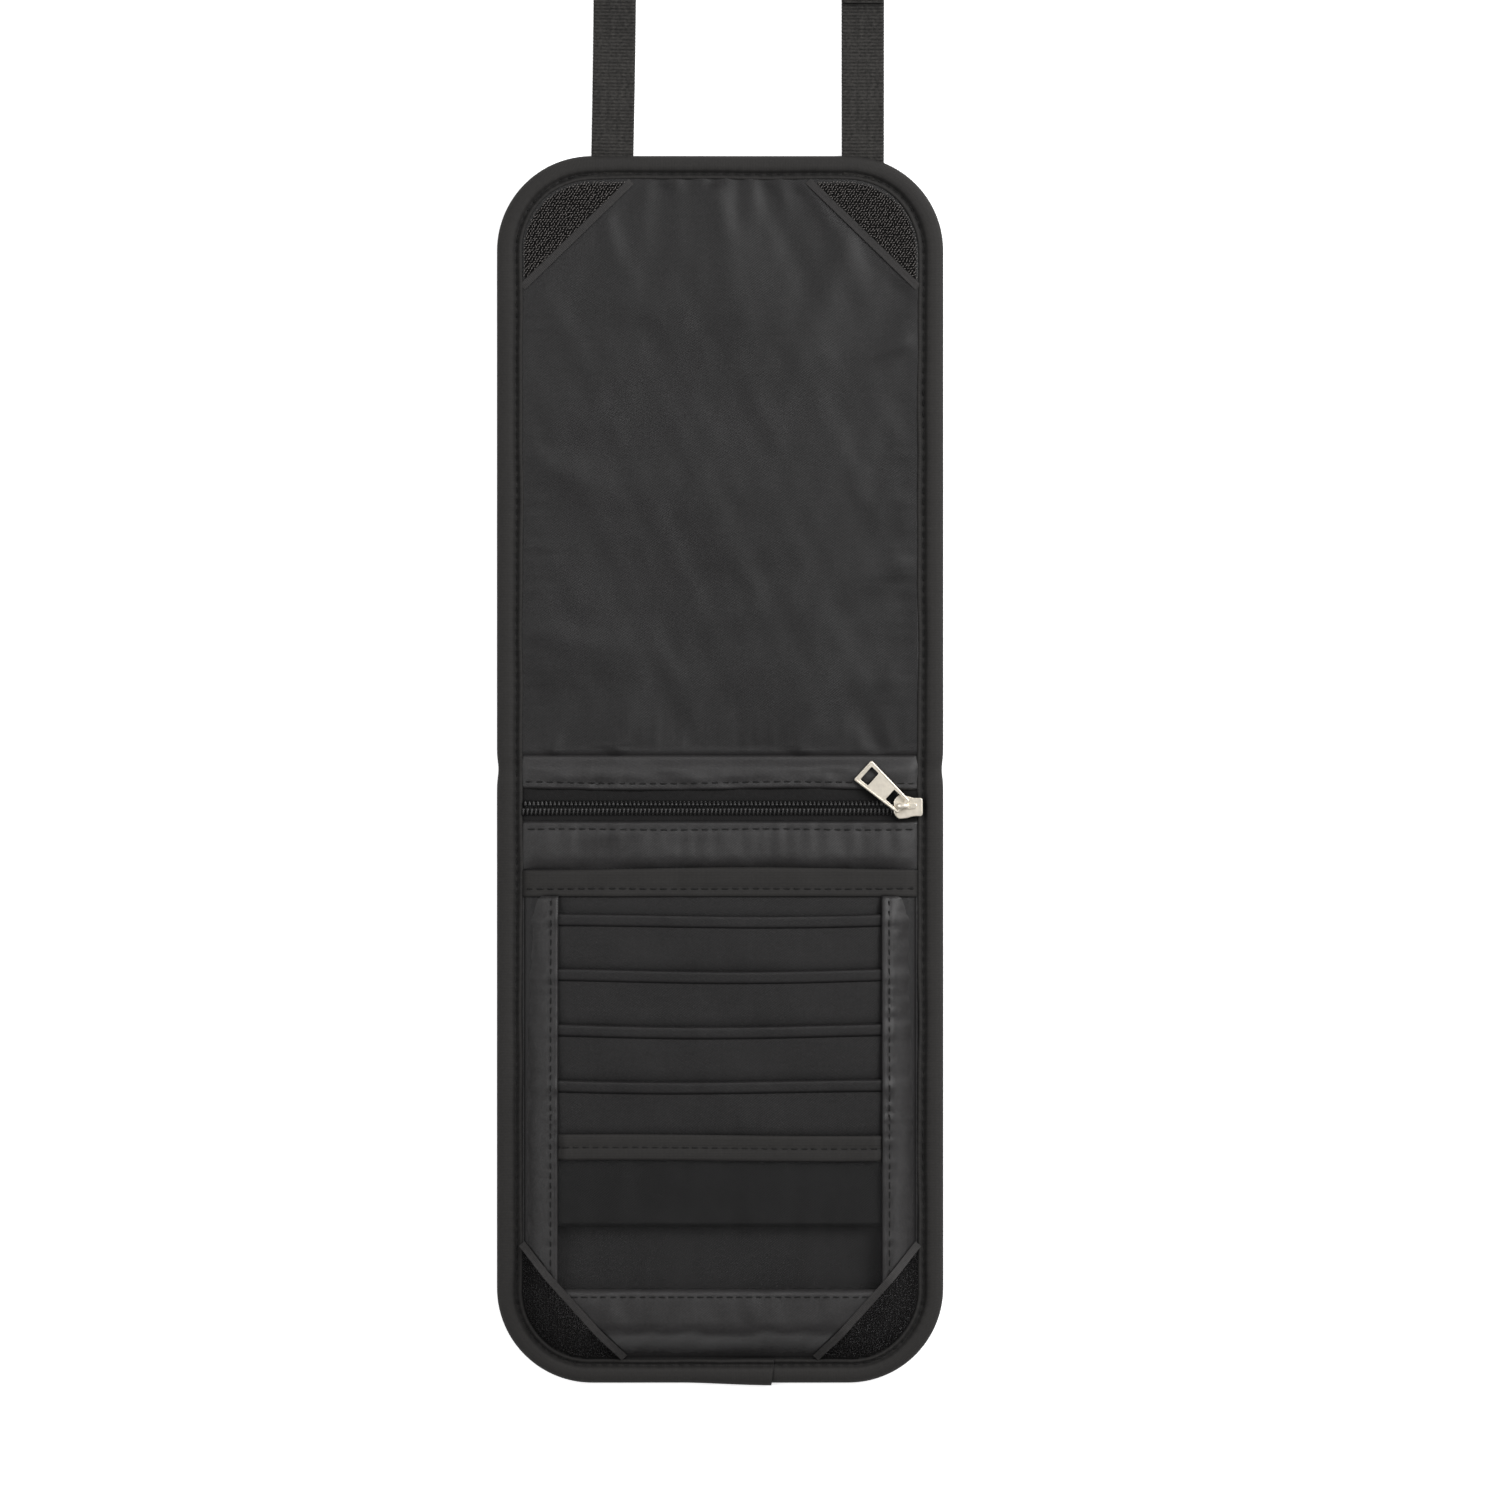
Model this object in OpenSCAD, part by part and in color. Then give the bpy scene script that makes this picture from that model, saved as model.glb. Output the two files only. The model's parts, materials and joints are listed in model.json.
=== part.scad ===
// Neck pouch wallet, lying open on its back.
// X runs across the pouch, Y from the card end to the strap end, Z up out of the inside.
// The origin is the middle of the fold line, on the plane the pouch rests on.
// The flap half is at +Y and the card half at -Y.

/* [Pouch] */
// Width across the pouch
pouch_w = 127; // [126:0.5:130]
// Length of each half, from the fold to its end
half_len = 174.5; // [173:0.5:178]
// Radius of the four outer corners
corner_r = 27; // [24:0.5:29]
// Width of the binding tape along the sides
bind_side = 7.4; // [7:0.1:7.8]
// Width of the binding tape across the two ends
bind_end = 6.8; // [6.4:0.1:7.4]
// Thickness of a single layer of pouch fabric
fabric_t = 0.3; // [0.25:0.01:0.32]

/* [Cards] */
// Width of the card slots
slot_w = 91.6; // [88:0.2:93]
// Distance from the fold to the mouth of the first card slot
first_mouth = 40.9; // [40:0.1:43]
// Step from one slot mouth to the next
slot_step = 15.6; // [15:0.1:16]
// Depth of each slot below its mouth
slot_depth = 41.2; // [40:0.1:43]
// Room inside each slot, just over a card's 0.76
card_gap = 0.8; // [0.78:0.01:0.82]

/* [Zip] */
// Distance from the fold to the middle of the zip
zip_y = 10.7; // [10.5:0.1:10.9]
// Gap between the two open rows of teeth
row_gap = 0.8; // [0.75:0.05:0.9]
// Length of the slider body
slider_len = 8.2; // [7.6:0.1:8.6]
// Length of the pull tab from its pivot to its tip
pull_len = 15.4; // [14:0.1:16]

/* [Strap] */
// Width of the strap webbing
strap_w = 12; // [11:0.5:12]
// Thickness of the strap webbing
strap_t = 0.8; // [0.7:0.05:0.8]
// Radius of the neck loop at the top of the strap
loop_r = 60; // [55:1:75]
// Distance from the fold to the centre of that loop
loop_y = 395; // [390:1:420]

/* [Output] */
// Which named piece to draw

/* [Hidden] */
$fn = 64;
gap = 0.05;                       // clearance left between neighbouring layers

// Edge of the pouch: fabric rims stacked inside the folded binding tape
edge_t = 2.2;
lip_t = 0.3;
bind_wall = 0.8;
rim_t = 0.45;
rim_z = [for (layer = [0:2]) lip_t + gap + layer * (rim_t + gap)];
shell_inset = 8;                  // where the outer fabric comes down to the ground
fold_half = 6;                    // half the strip of shell that bends at the fold
flap_y0 = fold_half + 0.2;
flap_split = 1.1;                 // height at which the flap's shell and lining rims meet

// Heights of the stacked layers of the card half
pocket_top = 2.9;                 // top of the zip pocket's front
panel_top = 3.8;                  // top of the panel that carries the card slots
hem_top = 4.1;                    // top of the panel's hem
slot_t = 0.2;
slots = 5;                        // four card slots and the window pocket
level_step = card_gap + slot_t;
first_level = hem_top + 0.05 + card_gap;
frame_top = 9.5;
patch_t = 0.7;
hook_top = 2.6;

// How far in from the pouch's edge the pocket's front and the panel rise
pocket_inset = 11;
panel_inset = 9.5;

// Where the parts of the card half begin, from the fold
facing_edge = 5.8;
facing_seam = 3.6;
front_edge = 14.7;
panel_edge = 28.6;
hem_w = 7.7;
window_bottom = 147.3;
window_band_w = 7.4;

// Zip levels, from the inside of the pocket upwards
tape_z = 2.25;
tape_t = 0.3;
row_w = 1.1;
row_z = 1.9;
row_t = 1.0;
row_end = pouch_w / 2 - bind_side - 0.6;
wing_t = 0.7;
lower_wing_z = 1.1;
upper_wing_z = 3.2;
slider_x = 49.3;                  // left end of the slider when the zip is fully open
slider_w = 6.8;
pivot = [51.8, -10.4, 4.75];
bar_r = 0.42;
pull_turn = 137.9;                // direction in which the resting tab points
pull_tilt = 4;
pull_t = 1;

// Corner fasteners: length of each triangle's sides, along X and along Y
hook_side = [33, 32];
loop_side = [32, 35];

// Strap
leg_left = -30.8;
leg_right = 40.6;
leg_z = 1.1;
strap_root = 176.2;               // end of the sewn-in stubs
strap_start = 178.5;              // start of the swinging strap
twist_y = 310;                    // start of the quarter turn onto the strap's edge
running_z = 3.15;                 // webbing where it runs over the ring and adjuster
ring_y = 234;
ring_len = 8;
wire_r = 0.9;
ring_z = 1.8;
glide_y = 266;
glide_half = 6.2;
centre_bar_z = 1.35;
centre_bar_r = 0.6;
outer_bar_z = 4.45;
outer_bar_r = 0.8;

// ---- Shared outlines ---------------------------------------------------------

// Outline of the whole open pouch, drawn in by side and end margins.
module pouch_outline(side, end) {
  r = max(corner_r - max(side, end), 2);
  w = pouch_w / 2 - side - r;
  h = half_len - end - r;
  hull()
    for (x = [-w, w], y = [-h, h])
      translate([x, y])
        circle(r);
}

// The part of that outline between two distances along Y.
module slice(side, end, y0, y1) {
  intersection() {
    pouch_outline(side, end);
    translate([-pouch_w, y0])
      square([2 * pouch_w, y1 - y0]);
  }
}

module plate(side, end, y0, y1, z0, z1) {
  translate([0, 0, z0])
    linear_extrude(z1 - z0)
      slice(side, end, y0, y1);
}

// Box given by its two opposite corners.
module block(low, high) {
  translate(low)
    cube(high - low);
}

// A sheet raised in the middle like a shallow tray, with its rim in the binding.
module tray(rim_z0, top_z, inset, y0, y1) {
  plate(1, 1, y0, y1, rim_z0, rim_z0 + rim_t);
  plate(inset, inset, y0, y1, rim_z0, top_z);
}

// The room under such a sheet, to be cut away from it.
module tray_hollow(ceiling_z, inset) {
  plate(inset + fabric_t, inset + fabric_t, -half_len, 1, 0, ceiling_z);
}

// ---- Binding -----------------------------------------------------------------

// Tape folded round the pouch's edge, between two distances along Y.
module binding(y0, y1) {
  difference() {
    plate(0, 0, y0, y1, 0, edge_t);
    plate(bind_side, bind_end, y0 - 1, y1 + 1, -1, edge_t + 1);
    plate(bind_wall, bind_wall, y0 - 1, y1 + 1, lip_t, edge_t - lip_t - gap);
  }
}

// Where the strap's ends pass out through the top edge.
module strap_notches() {
  for (x = [leg_left, leg_right])
    block([x - strap_w / 2 - 0.2, half_len - 9, leg_z - strap_t / 2 - gap],
          [x + strap_w / 2 + 0.2, half_len + 1, leg_z + strap_t / 2 + gap]);
}

module lower_binding() {
  tape_end = [2.8, 14.5];         // the tape's overlapped end at the bottom edge
  lap_rise = 0.35;                // how far that end stands proud
  color("#383635") {
    binding(-half_len, fold_half);
    intersection() {
      block([tape_end[0], -half_len, edge_t - 0.1], [tape_end[1], bind_end - half_len, edge_t + lap_rise]);
      plate(0, 0, -half_len, 0, 0, edge_t + 1);
    }
  }
}

module upper_binding() {
  color("#383635")
    difference() {
      binding(flap_y0, half_len);
      strap_notches();
    }
}

// ---- Flap half ---------------------------------------------------------------

// Outer fabric: a sheet on the ground whose rim rises into the binding.
module dish(y0, y1, rim_top) {
  difference() {
    union() {
      plate(1, 1, y0, y1, rim_z[0], rim_top);
      plate(shell_inset, shell_inset, y0, y1, 0, rim_top);
    }
    plate(shell_inset + fabric_t, shell_inset + fabric_t, y0 - 1, y1 + 1, fabric_t, rim_top + 1);
  }
}

module upper_shell() {
  color("#353334")
    difference() {
      dish(flap_y0, half_len, flap_split - gap);
      strap_notches();
    }
}

module upper_lining() {
  top = edge_t - lip_t - 2 * gap;
  color("#353334")
    difference() {
      plate(1, 1, flap_y0, half_len, flap_split, top);
      plate(panel_inset, panel_inset, flap_y0 - 1, half_len, 0, top - fabric_t);
      strap_notches();
    }
}

// Triangle filling one outer corner; side is -1 at the left and 1 at the right.
module corner_triangle(side, end, legs) {
  x = side * (pouch_w / 2 - bind_side);
  y = end * (half_len - bind_end);
  polygon([[x, y], [x - side * legs[0], y], [x, y - end * legs[1]]]);
}

module hook_patch(side) {
  color("#322f2e")
    translate([0, 0, edge_t - lip_t])
      linear_extrude(hook_top - edge_t + lip_t)
        intersection() {
          corner_triangle(side, 1, hook_side);
          pouch_outline(bind_side + 0.1, bind_end + 0.1);
        }
}

module hook_patch_left() {
  hook_patch(-1);
}

module hook_patch_right() {
  hook_patch(1);
}

// Sewn-in end of the strap, held between the flap's two layers.
module strap_stub(x) {
  color("#393735")
    block([x - strap_w / 2, half_len - 8.5, leg_z - strap_t / 2],
          [x + strap_w / 2, strap_root, leg_z + strap_t / 2]);
}

module strap_stub_left() {
  strap_stub(leg_left);
}

module strap_stub_right() {
  strap_stub(leg_right);
}

// ---- Card half: shell and zip pocket -----------------------------------------

module lower_shell() {
  color("#353334")
    dish(-half_len, fold_half, rim_z[0] + rim_t);
}

// Front of the zip pocket: a low tray whose top edge is sewn to the zip.
module pocket_front() {
  color("#3d3b3b")
    difference() {
      tray(rim_z[1], pocket_top, pocket_inset, -half_len, -front_edge);
      tray_hollow(pocket_top - fabric_t, pocket_inset);
    }
}

// Folded strip that hides the upper zip tape, rising from the seam at the fold.
module zip_facing() {
  x = pouch_w / 2 - bind_side - 0.1;
  color("#3d3b3b")
    translate([-x, 0, 0])
      rotate([90, 0, 90])
        linear_extrude(2 * x)
          polygon([
            [fold_half, rim_z[1]], [fold_half, rim_z[1] + 0.6],
            [facing_seam - 1, rim_z[1] + 0.6], [-1, pocket_top],
            [-facing_edge, pocket_top], [-facing_edge, pocket_top - fabric_t],
            [-1.2, pocket_top - fabric_t], [facing_seam - 1.4, rim_z[1]]
          ]);
}

module zip_tape(y0, y1) {
  color("#2b2a2a")
    block([-row_end - 0.4, y0, tape_z], [row_end + 0.4, y1, tape_z + tape_t]);
}

module zip_tape_upper() {
  zip_tape(-zip_y + row_gap / 2 + row_w + gap, -2.5);
}

module zip_tape_lower() {
  x = pouch_w / 2 - pocket_inset - 2 * fabric_t;
  zip_tape(gap - front_edge, -zip_y - row_gap / 2 - row_w - gap);
  color("#2b2a2a")
    block([-x, -front_edge - 4, tape_z], [x, 2 * gap - front_edge, tape_z + tape_t]);
}

// One half of the zip's coil, as a plain bar; side is 1 for the upper row.
module zip_row(side) {
  y = -zip_y + side * (row_gap + row_w) / 2;
  color("#1c1b1b")
    block([-row_end, y - row_w / 2, row_z], [row_end, y + row_w / 2, row_z + row_t]);
}

module zip_coil_upper() {
  zip_row(1);
}

module zip_coil_lower() {
  zip_row(-1);
}

// ---- Zip slider and pull -----------------------------------------------------

// Plan of the slider: wide shoulders at the left, narrower at the right.
module slider_plan() {
  polygon([
    [0, -slider_w / 2 + 0.6], [1.2, -slider_w / 2], [3.6, -slider_w / 2 + 0.2],
    [slider_len, -2.5], [slider_len, 2.5],
    [3.6, slider_w / 2 - 0.2], [1.2, slider_w / 2], [0, slider_w / 2 - 0.6]
  ]);
}

// Two wings joined by a post that runs between the rows, with flanges at the sides.
module slider_body() {
  lower_len = slider_len - 2.2;
  flange_gap = 0.1;
  color("#dfd5c1")
    translate([slider_x, -zip_y, 0]) {
      translate([0, 0, upper_wing_z])
        linear_extrude(wing_t)
          slider_plan();
      translate([0, 0, lower_wing_z])
        linear_extrude(wing_t)
          intersection() {
            slider_plan();
            translate([0, -5])
              square([lower_len, 10]);
          }
      block([0.4, -row_gap / 2 + 0.1, lower_wing_z + 0.2], [2.4, row_gap / 2 - 0.1, upper_wing_z + 0.2]);
      for (side = [-1, 1]) {
        flange_y = side * 2.25;
        translate([1.2, flange_y - 0.25, tape_z + tape_t + flange_gap])
          cube([lower_len - 1.2, 0.5, upper_wing_z + 0.1 - tape_z - tape_t - flange_gap]);
        translate([1.2, flange_y - 0.25, lower_wing_z + wing_t - 0.1])
          cube([lower_len - 1.2, 0.5, tape_z - flange_gap - lower_wing_z - wing_t + 0.1]);
      }
    }
}

// Small arch on top of the slider that the pull's bar passes through.
module slider_bridge() {
  half_l = 1.9;
  half_w = 0.5;
  post_l = 0.8;
  beam_z = pivot[2] + bar_r + 0.15;
  color("#dfd5c1")
    translate([pivot[0], -zip_y + 0.3, 0]) {
      for (x = [-half_l, half_l - post_l])
        block([x, -half_w, upper_wing_z + wing_t + 0.01], [x + post_l, half_w, beam_z + 0.1]);
      block([-half_l, -half_w, beam_z], [half_l, half_w, beam_z + 0.8]);
    }
}

// Pull tab: a tapered plate with a slot round the bridge and a window near its tip.
module pull_tab() {
  slot_half = 1.75;
  slot_len = 4.6;
  rear_half = 2.5;
  tip_half = 3.8;
  tip_cut = 0.7;                  // chamfer of the tip's two corners
  window_at = 11.2;
  window = [2.8, 4.7];
  color("#dfd5c1")
    translate(pivot)
      rotate([0, 0, pull_turn])
        rotate([0, pull_tilt, 0]) {
          translate([0, 0, -pull_t / 2])
            linear_extrude(pull_t)
              difference() {
                polygon([
                  [0, -rear_half], [pull_len - tip_cut, -tip_half], [pull_len, tip_cut - tip_half],
                  [pull_len, tip_half - tip_cut], [pull_len - tip_cut, tip_half], [0, rear_half]
                ]);
                translate([-1, -slot_half])
                  square([slot_len + 1, 2 * slot_half]);
                translate([window_at, -window[1] / 2])
                  square(window);
              }
          rotate([90, 0, 0])
            cylinder(r = bar_r, h = 2 * rear_half, center = true);
        }
}

// ---- Card half: slots, window and frame --------------------------------------

module card_panel() {
  color("#383636")
    difference() {
      tray(rim_z[2], panel_top, panel_inset, -half_len, -panel_edge);
      tray_hollow(panel_top - fabric_t, panel_inset);
    }
}

// Folded hem round the panel's top edge, across the full width.
module hem_band() {
  x = pouch_w / 2 - panel_inset - 1;
  color("#3a3837")
    difference() {
      block([-x, -panel_edge - hem_w, panel_top - 2 * fabric_t], [x, gap - panel_edge + fabric_t, hem_top]);
      block([-x - 1, -panel_edge - hem_w - 1, panel_top - fabric_t - gap], [x + 1, gap - panel_edge, panel_top + gap]);
    }
}

function mouth(slot) = -first_mouth - slot * slot_step;
function level(slot) = first_level + slot * level_step;

// One slot's front: a flat sheet with a ridge where it is sewn down at the bottom.
module slot_sheet(slot) {
  x = slot_w / 2 - gap;
  bottom = mouth(slot) - slot_depth - 1.6;
  color("#393737") {
    block([-x, bottom, level(slot)], [x, mouth(slot), level(slot) + slot_t]);
    block([-x, bottom, panel_top + gap], [x, bottom + 1.2, level(slot) + 0.1]);
  }
}

module card_slot_1() {
  slot_sheet(0);
}

module card_slot_2() {
  slot_sheet(1);
}

module card_slot_3() {
  slot_sheet(2);
}

module card_slot_4() {
  slot_sheet(3);
}

// Clear film of the window pocket, sewn down along its bottom.
module window_film() {
  x = slot_w / 2 - gap;
  z = level(slots - 1);
  color([0.85, 0.88, 0.9, 0.35]) {
    block([-x, gap - window_bottom, z], [x, mouth(slots - 1) - 1, z + slot_t]);
    block([-x, gap - window_bottom, panel_top + gap], [x, 1.2 - window_bottom, z + 0.1]);
  }
}

module window_band() {
  x = slot_w / 2 - gap;
  z = level(slots - 1) + slot_t + gap;
  color("#3a3737")
    block([-x, mouth(slots - 1) - window_band_w, z], [x, mouth(slots - 1), z + fabric_t]);
}

// The low hill the side strips and the bottom panel make over the card slots.
module hill(lift) {
  foot = 7.7;
  shoulder = 15;
  hull() {
    plate(foot, foot, -half_len, 0, edge_t - lip_t - gap + lift, 2.6 + lift);
    plate(shoulder, shoulder, -half_len, 0, 9 + lift, frame_top + lift);
  }
}

// Side strips and bottom panel, one piece of fabric in a U round the slots.
module card_frame() {
  inset = panel_inset - 0.2;
  top = -panel_edge - hem_w - gap;
  color("#403e3e")
    difference() {
      intersection() {
        hill(0);
        block([-pouch_w, -half_len, 0], [pouch_w, top, 20]);
      }
      plate(inset, inset, -half_len, 1, 0, panel_top + gap);
      block([-slot_w / 2, -window_bottom, 0], [slot_w / 2, 1, 20]);
    }
}

// Soft loop fastener lying over one lower corner of the frame.
module loop_patch(side) {
  color("#1e1c1c")
    intersection() {
      difference() {
        hill(patch_t);
        hill(gap);
      }
      linear_extrude(20)
        intersection() {
          corner_triangle(side, -1, loop_side);
          pouch_outline(bind_side + 0.8, bind_end + 1.4);
        }
    }
}

module loop_patch_left() {
  loop_patch(-1);
}

module loop_patch_right() {
  loop_patch(1);
}

// ---- Strap -------------------------------------------------------------------

// Smooth step from 0 to 1, and a cubic curve through four control values.
function ease(t) = t * t * (3 - 2 * t);
function cubic(a, b, c, d, t) =
  a * pow(1 - t, 3) + 3 * b * t * pow(1 - t, 2) + 3 * c * t * t * (1 - t) + d * pow(t, 3);

loop_x = (leg_left + leg_right) / 2;
turns = 24;

// A station is [x, y, z, heading, tilt]: tilt is 0 lying flat and 90 standing on edge.
function rise(z0, tilt) = z0 + (strap_w / 2 + 0.1 - z0) * sin(tilt);
function side_station(x0, z0, side, t) =
  let (tilt = 90 * ease(min(1, t * 1.15)))
  [
    cubic(x0, x0, loop_x + side * loop_r, loop_x + side * loop_r, t),
    cubic(twist_y, twist_y + 35, loop_y - 45, loop_y, t),
    rise(z0, tilt), side, tilt
  ];

left_side = [for (i = [0:turns]) side_station(leg_left, leg_z, -1, i / turns)];
right_side = [for (i = [turns:-1:0]) side_station(leg_right, running_z, 1, i / turns)];
top_arc = [
  for (i = [1:turns - 1])
    let (a = 180 - 180 * i / turns)
    [loop_x + loop_r * cos(a), loop_y + loop_r * sin(a), strap_w / 2 + 0.1, 0, 90]
];
strap_path = concat(
  [[leg_left, strap_start, leg_z, -1, 0]], left_side, top_arc, right_side,
  [[leg_right, ring_y + ring_len / 2 - 1.8, running_z, 1, 0]]
);

// Direction of travel at a station, level with the ground.
function travel(path, i) =
  let (a = path[max(0, i - 1)], b = path[min(len(path) - 1, i + 1)], d = [b[0] - a[0], b[1] - a[1]])
  d / norm(d);

// The webbing's four corners at a station.
function corners(path, i) =
  let (
    p = path[i], d = travel(path, i), out = [-d[1], d[0], 0],
    across = out * cos(p[4]) - [0, 0, 1] * sin(p[4]),
    up = out * sin(p[4]) + [0, 0, 1] * cos(p[4]),
    c = [p[0], p[1], p[2]]
  )
  [for (k = [[-1, -1], [1, -1], [1, 1], [-1, 1]]) c + across * k[0] * strap_w / 2 + up * k[1] * strap_t / 2];

// Running webbing: up the left leg, round the neck and down to the ring.
module neck_webbing() {
  n = len(strap_path);
  points = [for (i = [0:n - 1]) each corners(strap_path, i)];
  sides = [
    for (i = [0:n - 2], k = [0:3])
      let (a = 4 * i + k, b = 4 * i + (k + 1) % 4)
      each [[a, b, b + 4], [a, b + 4, a + 4]]
  ];
  ends = [[3, 2, 1, 0], [4 * n - 4, 4 * n - 3, 4 * n - 2, 4 * n - 1]];
  color("#393735")
    polyhedron(points, concat(sides, ends), convexity = 6);
}

// Short lower piece of the right leg, from the pouch to the ring.
module strap_tab() {
  color("#393735")
    block([leg_right - strap_w / 2, strap_start, leg_z - strap_t / 2],
          [leg_right + strap_w / 2, ring_y - ring_len / 2 - 0.1, leg_z + strap_t / 2]);
}

module strap_ring() {
  color("#dfd5c1")
    for (side = [-1, 1]) {
      translate([leg_right, ring_y + side * (ring_len / 2 - wire_r), ring_z])
        rotate([0, 90, 0])
          cylinder(r = wire_r, h = strap_w + 4.2, center = true);
      translate([leg_right + side * (strap_w / 2 + 1.4), ring_y, ring_z])
        rotate([90, 0, 0])
          cylinder(r = wire_r, h = ring_len - 2 * wire_r + 0.6, center = true);
    }
}

// The webbing's end, turned back under the running part on its way to the adjuster.
module webbing_tail() {
  top = ring_z - wire_r - gap;
  color("#393735")
    block([leg_right - strap_w / 2, ring_y + 2.4, gap],
          [leg_right + strap_w / 2, ring_y + 6, top]);
}

// Adjuster: two rails, two high outer bars and a low centre bar.
module tri_glide() {
  rail_x = strap_w / 2 + 0.4;
  rail_w = 1.8;
  color("#1b1a1a")
    translate([leg_right, glide_y, 0]) {
      for (side = [-1, 1])
        translate([side * (rail_x + rail_w / 2), 0, 0])
          block([-rail_w / 2, -glide_half, 0.6], [rail_w / 2, glide_half, outer_bar_z + outer_bar_r]);
      for (y = [1 - glide_half, glide_half - 1])
        translate([0, y, outer_bar_z])
          rotate([0, 90, 0])
            cylinder(r = outer_bar_r, h = 2 * rail_x + 0.4, center = true);
      translate([0, 0, centre_bar_z])
        rotate([0, 90, 0])
          cylinder(r = centre_bar_r, h = 2 * rail_x + 0.4, center = true);
    }
}

// The tail's end, sewn back on itself round the adjuster's centre bar.
module tail_wrap() {
  inner_r = centre_bar_r + gap;
  outer_r = inner_r + 0.55;
  color("#393735")
    translate([leg_right, glide_y, 0])
      difference() {
        union() {
          translate([0, 0, centre_bar_z])
            rotate([0, 90, 0])
              cylinder(r = outer_r, h = strap_w, center = true);
          block([-strap_w / 2, -7.5, centre_bar_z - outer_r], [strap_w / 2, -0.8, centre_bar_z - 0.1]);
        }
        translate([0, 0, centre_bar_z])
          rotate([0, 90, 0])
            cylinder(r = inner_r, h = strap_w + 1, center = true);
      }
}

// ---- Output ------------------------------------------------------------------

lower_shell();
pocket_front();
zip_facing();
zip_tape_upper();
zip_tape_lower();
zip_coil_upper();
zip_coil_lower();
card_panel();
hem_band();
card_slot_1();
card_slot_2();
card_slot_3();
card_slot_4();
window_film();
window_band();
card_frame();
loop_patch_left();
loop_patch_right();
lower_binding();
upper_shell();
upper_lining();
hook_patch_left();
hook_patch_right();
upper_binding();
strap_stub_left();
strap_stub_right();
neck_webbing();
strap_tab();
strap_ring();
webbing_tail();
tri_glide();
tail_wrap();
slider_body();
slider_bridge();
pull_tab();
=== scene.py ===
"""Looks of the neck pouch wallet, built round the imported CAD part.

Lengths are in millimetres until a mesh is made.
"""

import json
import math
import random

import bmesh
import bpy
import numpy as np
from mathutils import Matrix, Vector
from mathutils.bvhtree import BVHTree


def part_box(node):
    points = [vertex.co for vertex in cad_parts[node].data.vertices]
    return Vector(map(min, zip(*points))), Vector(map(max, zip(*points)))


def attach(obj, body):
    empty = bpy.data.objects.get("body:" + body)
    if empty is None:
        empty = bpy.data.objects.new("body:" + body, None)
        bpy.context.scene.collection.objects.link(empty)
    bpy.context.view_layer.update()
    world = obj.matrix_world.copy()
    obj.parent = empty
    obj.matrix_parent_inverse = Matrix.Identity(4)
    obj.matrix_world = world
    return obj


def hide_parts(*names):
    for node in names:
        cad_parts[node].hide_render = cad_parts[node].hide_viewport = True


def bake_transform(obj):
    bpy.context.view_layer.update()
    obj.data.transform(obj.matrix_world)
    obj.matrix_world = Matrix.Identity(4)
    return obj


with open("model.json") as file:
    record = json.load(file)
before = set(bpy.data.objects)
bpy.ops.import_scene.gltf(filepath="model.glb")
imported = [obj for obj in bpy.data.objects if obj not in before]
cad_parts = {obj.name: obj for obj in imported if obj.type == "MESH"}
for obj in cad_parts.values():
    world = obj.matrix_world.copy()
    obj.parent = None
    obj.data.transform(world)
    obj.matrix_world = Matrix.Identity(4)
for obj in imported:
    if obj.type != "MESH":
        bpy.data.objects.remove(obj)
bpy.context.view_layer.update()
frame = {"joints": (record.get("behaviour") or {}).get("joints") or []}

# ---- Sizes, read from the frame where it has them -----------------------------

MM = 0.001
LOW, HIGH = 0, 1
X, Y, Z = 0, 1, 2


def edge(node, end, axis):
    """Where one side of a CAD node's box lies."""
    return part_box(node)[end][axis] / MM


def middle_of(node, axis):
    """Where the middle of a CAD node's box lies."""
    return (edge(node, LOW, axis) + edge(node, HIGH, axis)) / 2


def length_of(node, axis):
    """How long a CAD node's box is."""
    return edge(node, HIGH, axis) - edge(node, LOW, axis)


HALF_W = edge("lower_binding", HIGH, X)
HALF_L = edge("upper_binding", HIGH, Y)
CORNER = 27.0                                # radius of the pouch's corners
BIND_SIDE, BIND_END = 7.4, 6.8               # width of the binding along the sides and across the ends
INNER_W, INNER_L = HALF_W - BIND_SIDE, HALF_L - BIND_END
GRIP_Z = 1.25                                # height of the layers inside the binding
SEAM = 3.6                                   # where the lining meets the zip's facing strip
SLOTS = ["card_slot_1", "card_slot_2", "card_slot_3", "card_slot_4"]
SLOT_HALF = edge("card_slot_1", HIGH, X)
FRAME_TOP = edge("card_frame", HIGH, Z)
FRAME_END = edge("card_frame", HIGH, Y)
WINDOW_END = edge("window_film", LOW, Y)
LEG_LEFT = middle_of("strap_stub_left", X)
LEG_RIGHT = middle_of("strap_tab", X)
STRAP_W = length_of("strap_tab", X)
STRAP_T = length_of("strap_tab", Z)
# Where the pouch bends at its fold and the strap at the flap's top edge, from and to, in metres.
FOLD_ZONE = ((0, -0.0066, 0), (0, 0.0056, 0))
SWING_ZONE = ((0, 0.1752, 0), (0, 0.1808, 0))


# ---- Numbers and shapes -------------------------------------------------------

def ramp(t):
    """Smooth step from 0 to 1."""
    t = np.clip(t, 0, 1)
    return t * t * (3 - 2 * t)


def bell(away, width):
    """A soft hump: 1 where away is 0, fading out over about the given width."""
    return np.exp(-(away / width) ** 2)


def inset(x, y):
    """How far a point lies inside the pouch's outline."""
    qx = np.abs(x) - (HALF_W - CORNER)
    qy = np.abs(y) - (HALF_L - CORNER)
    outside = np.hypot(np.maximum(qx, 0), np.maximum(qy, 0))
    return CORNER - outside - np.minimum(np.maximum(qx, qy), 0)


def past_binding(x, y):
    """How far a point lies inside the binding's inner edge."""
    return inset(x, y) - BIND_SIDE


def tucked(depth):
    """The side and end margins of a layer that reaches this deep under the binding."""
    return BIND_SIDE - depth, BIND_END - depth


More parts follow.
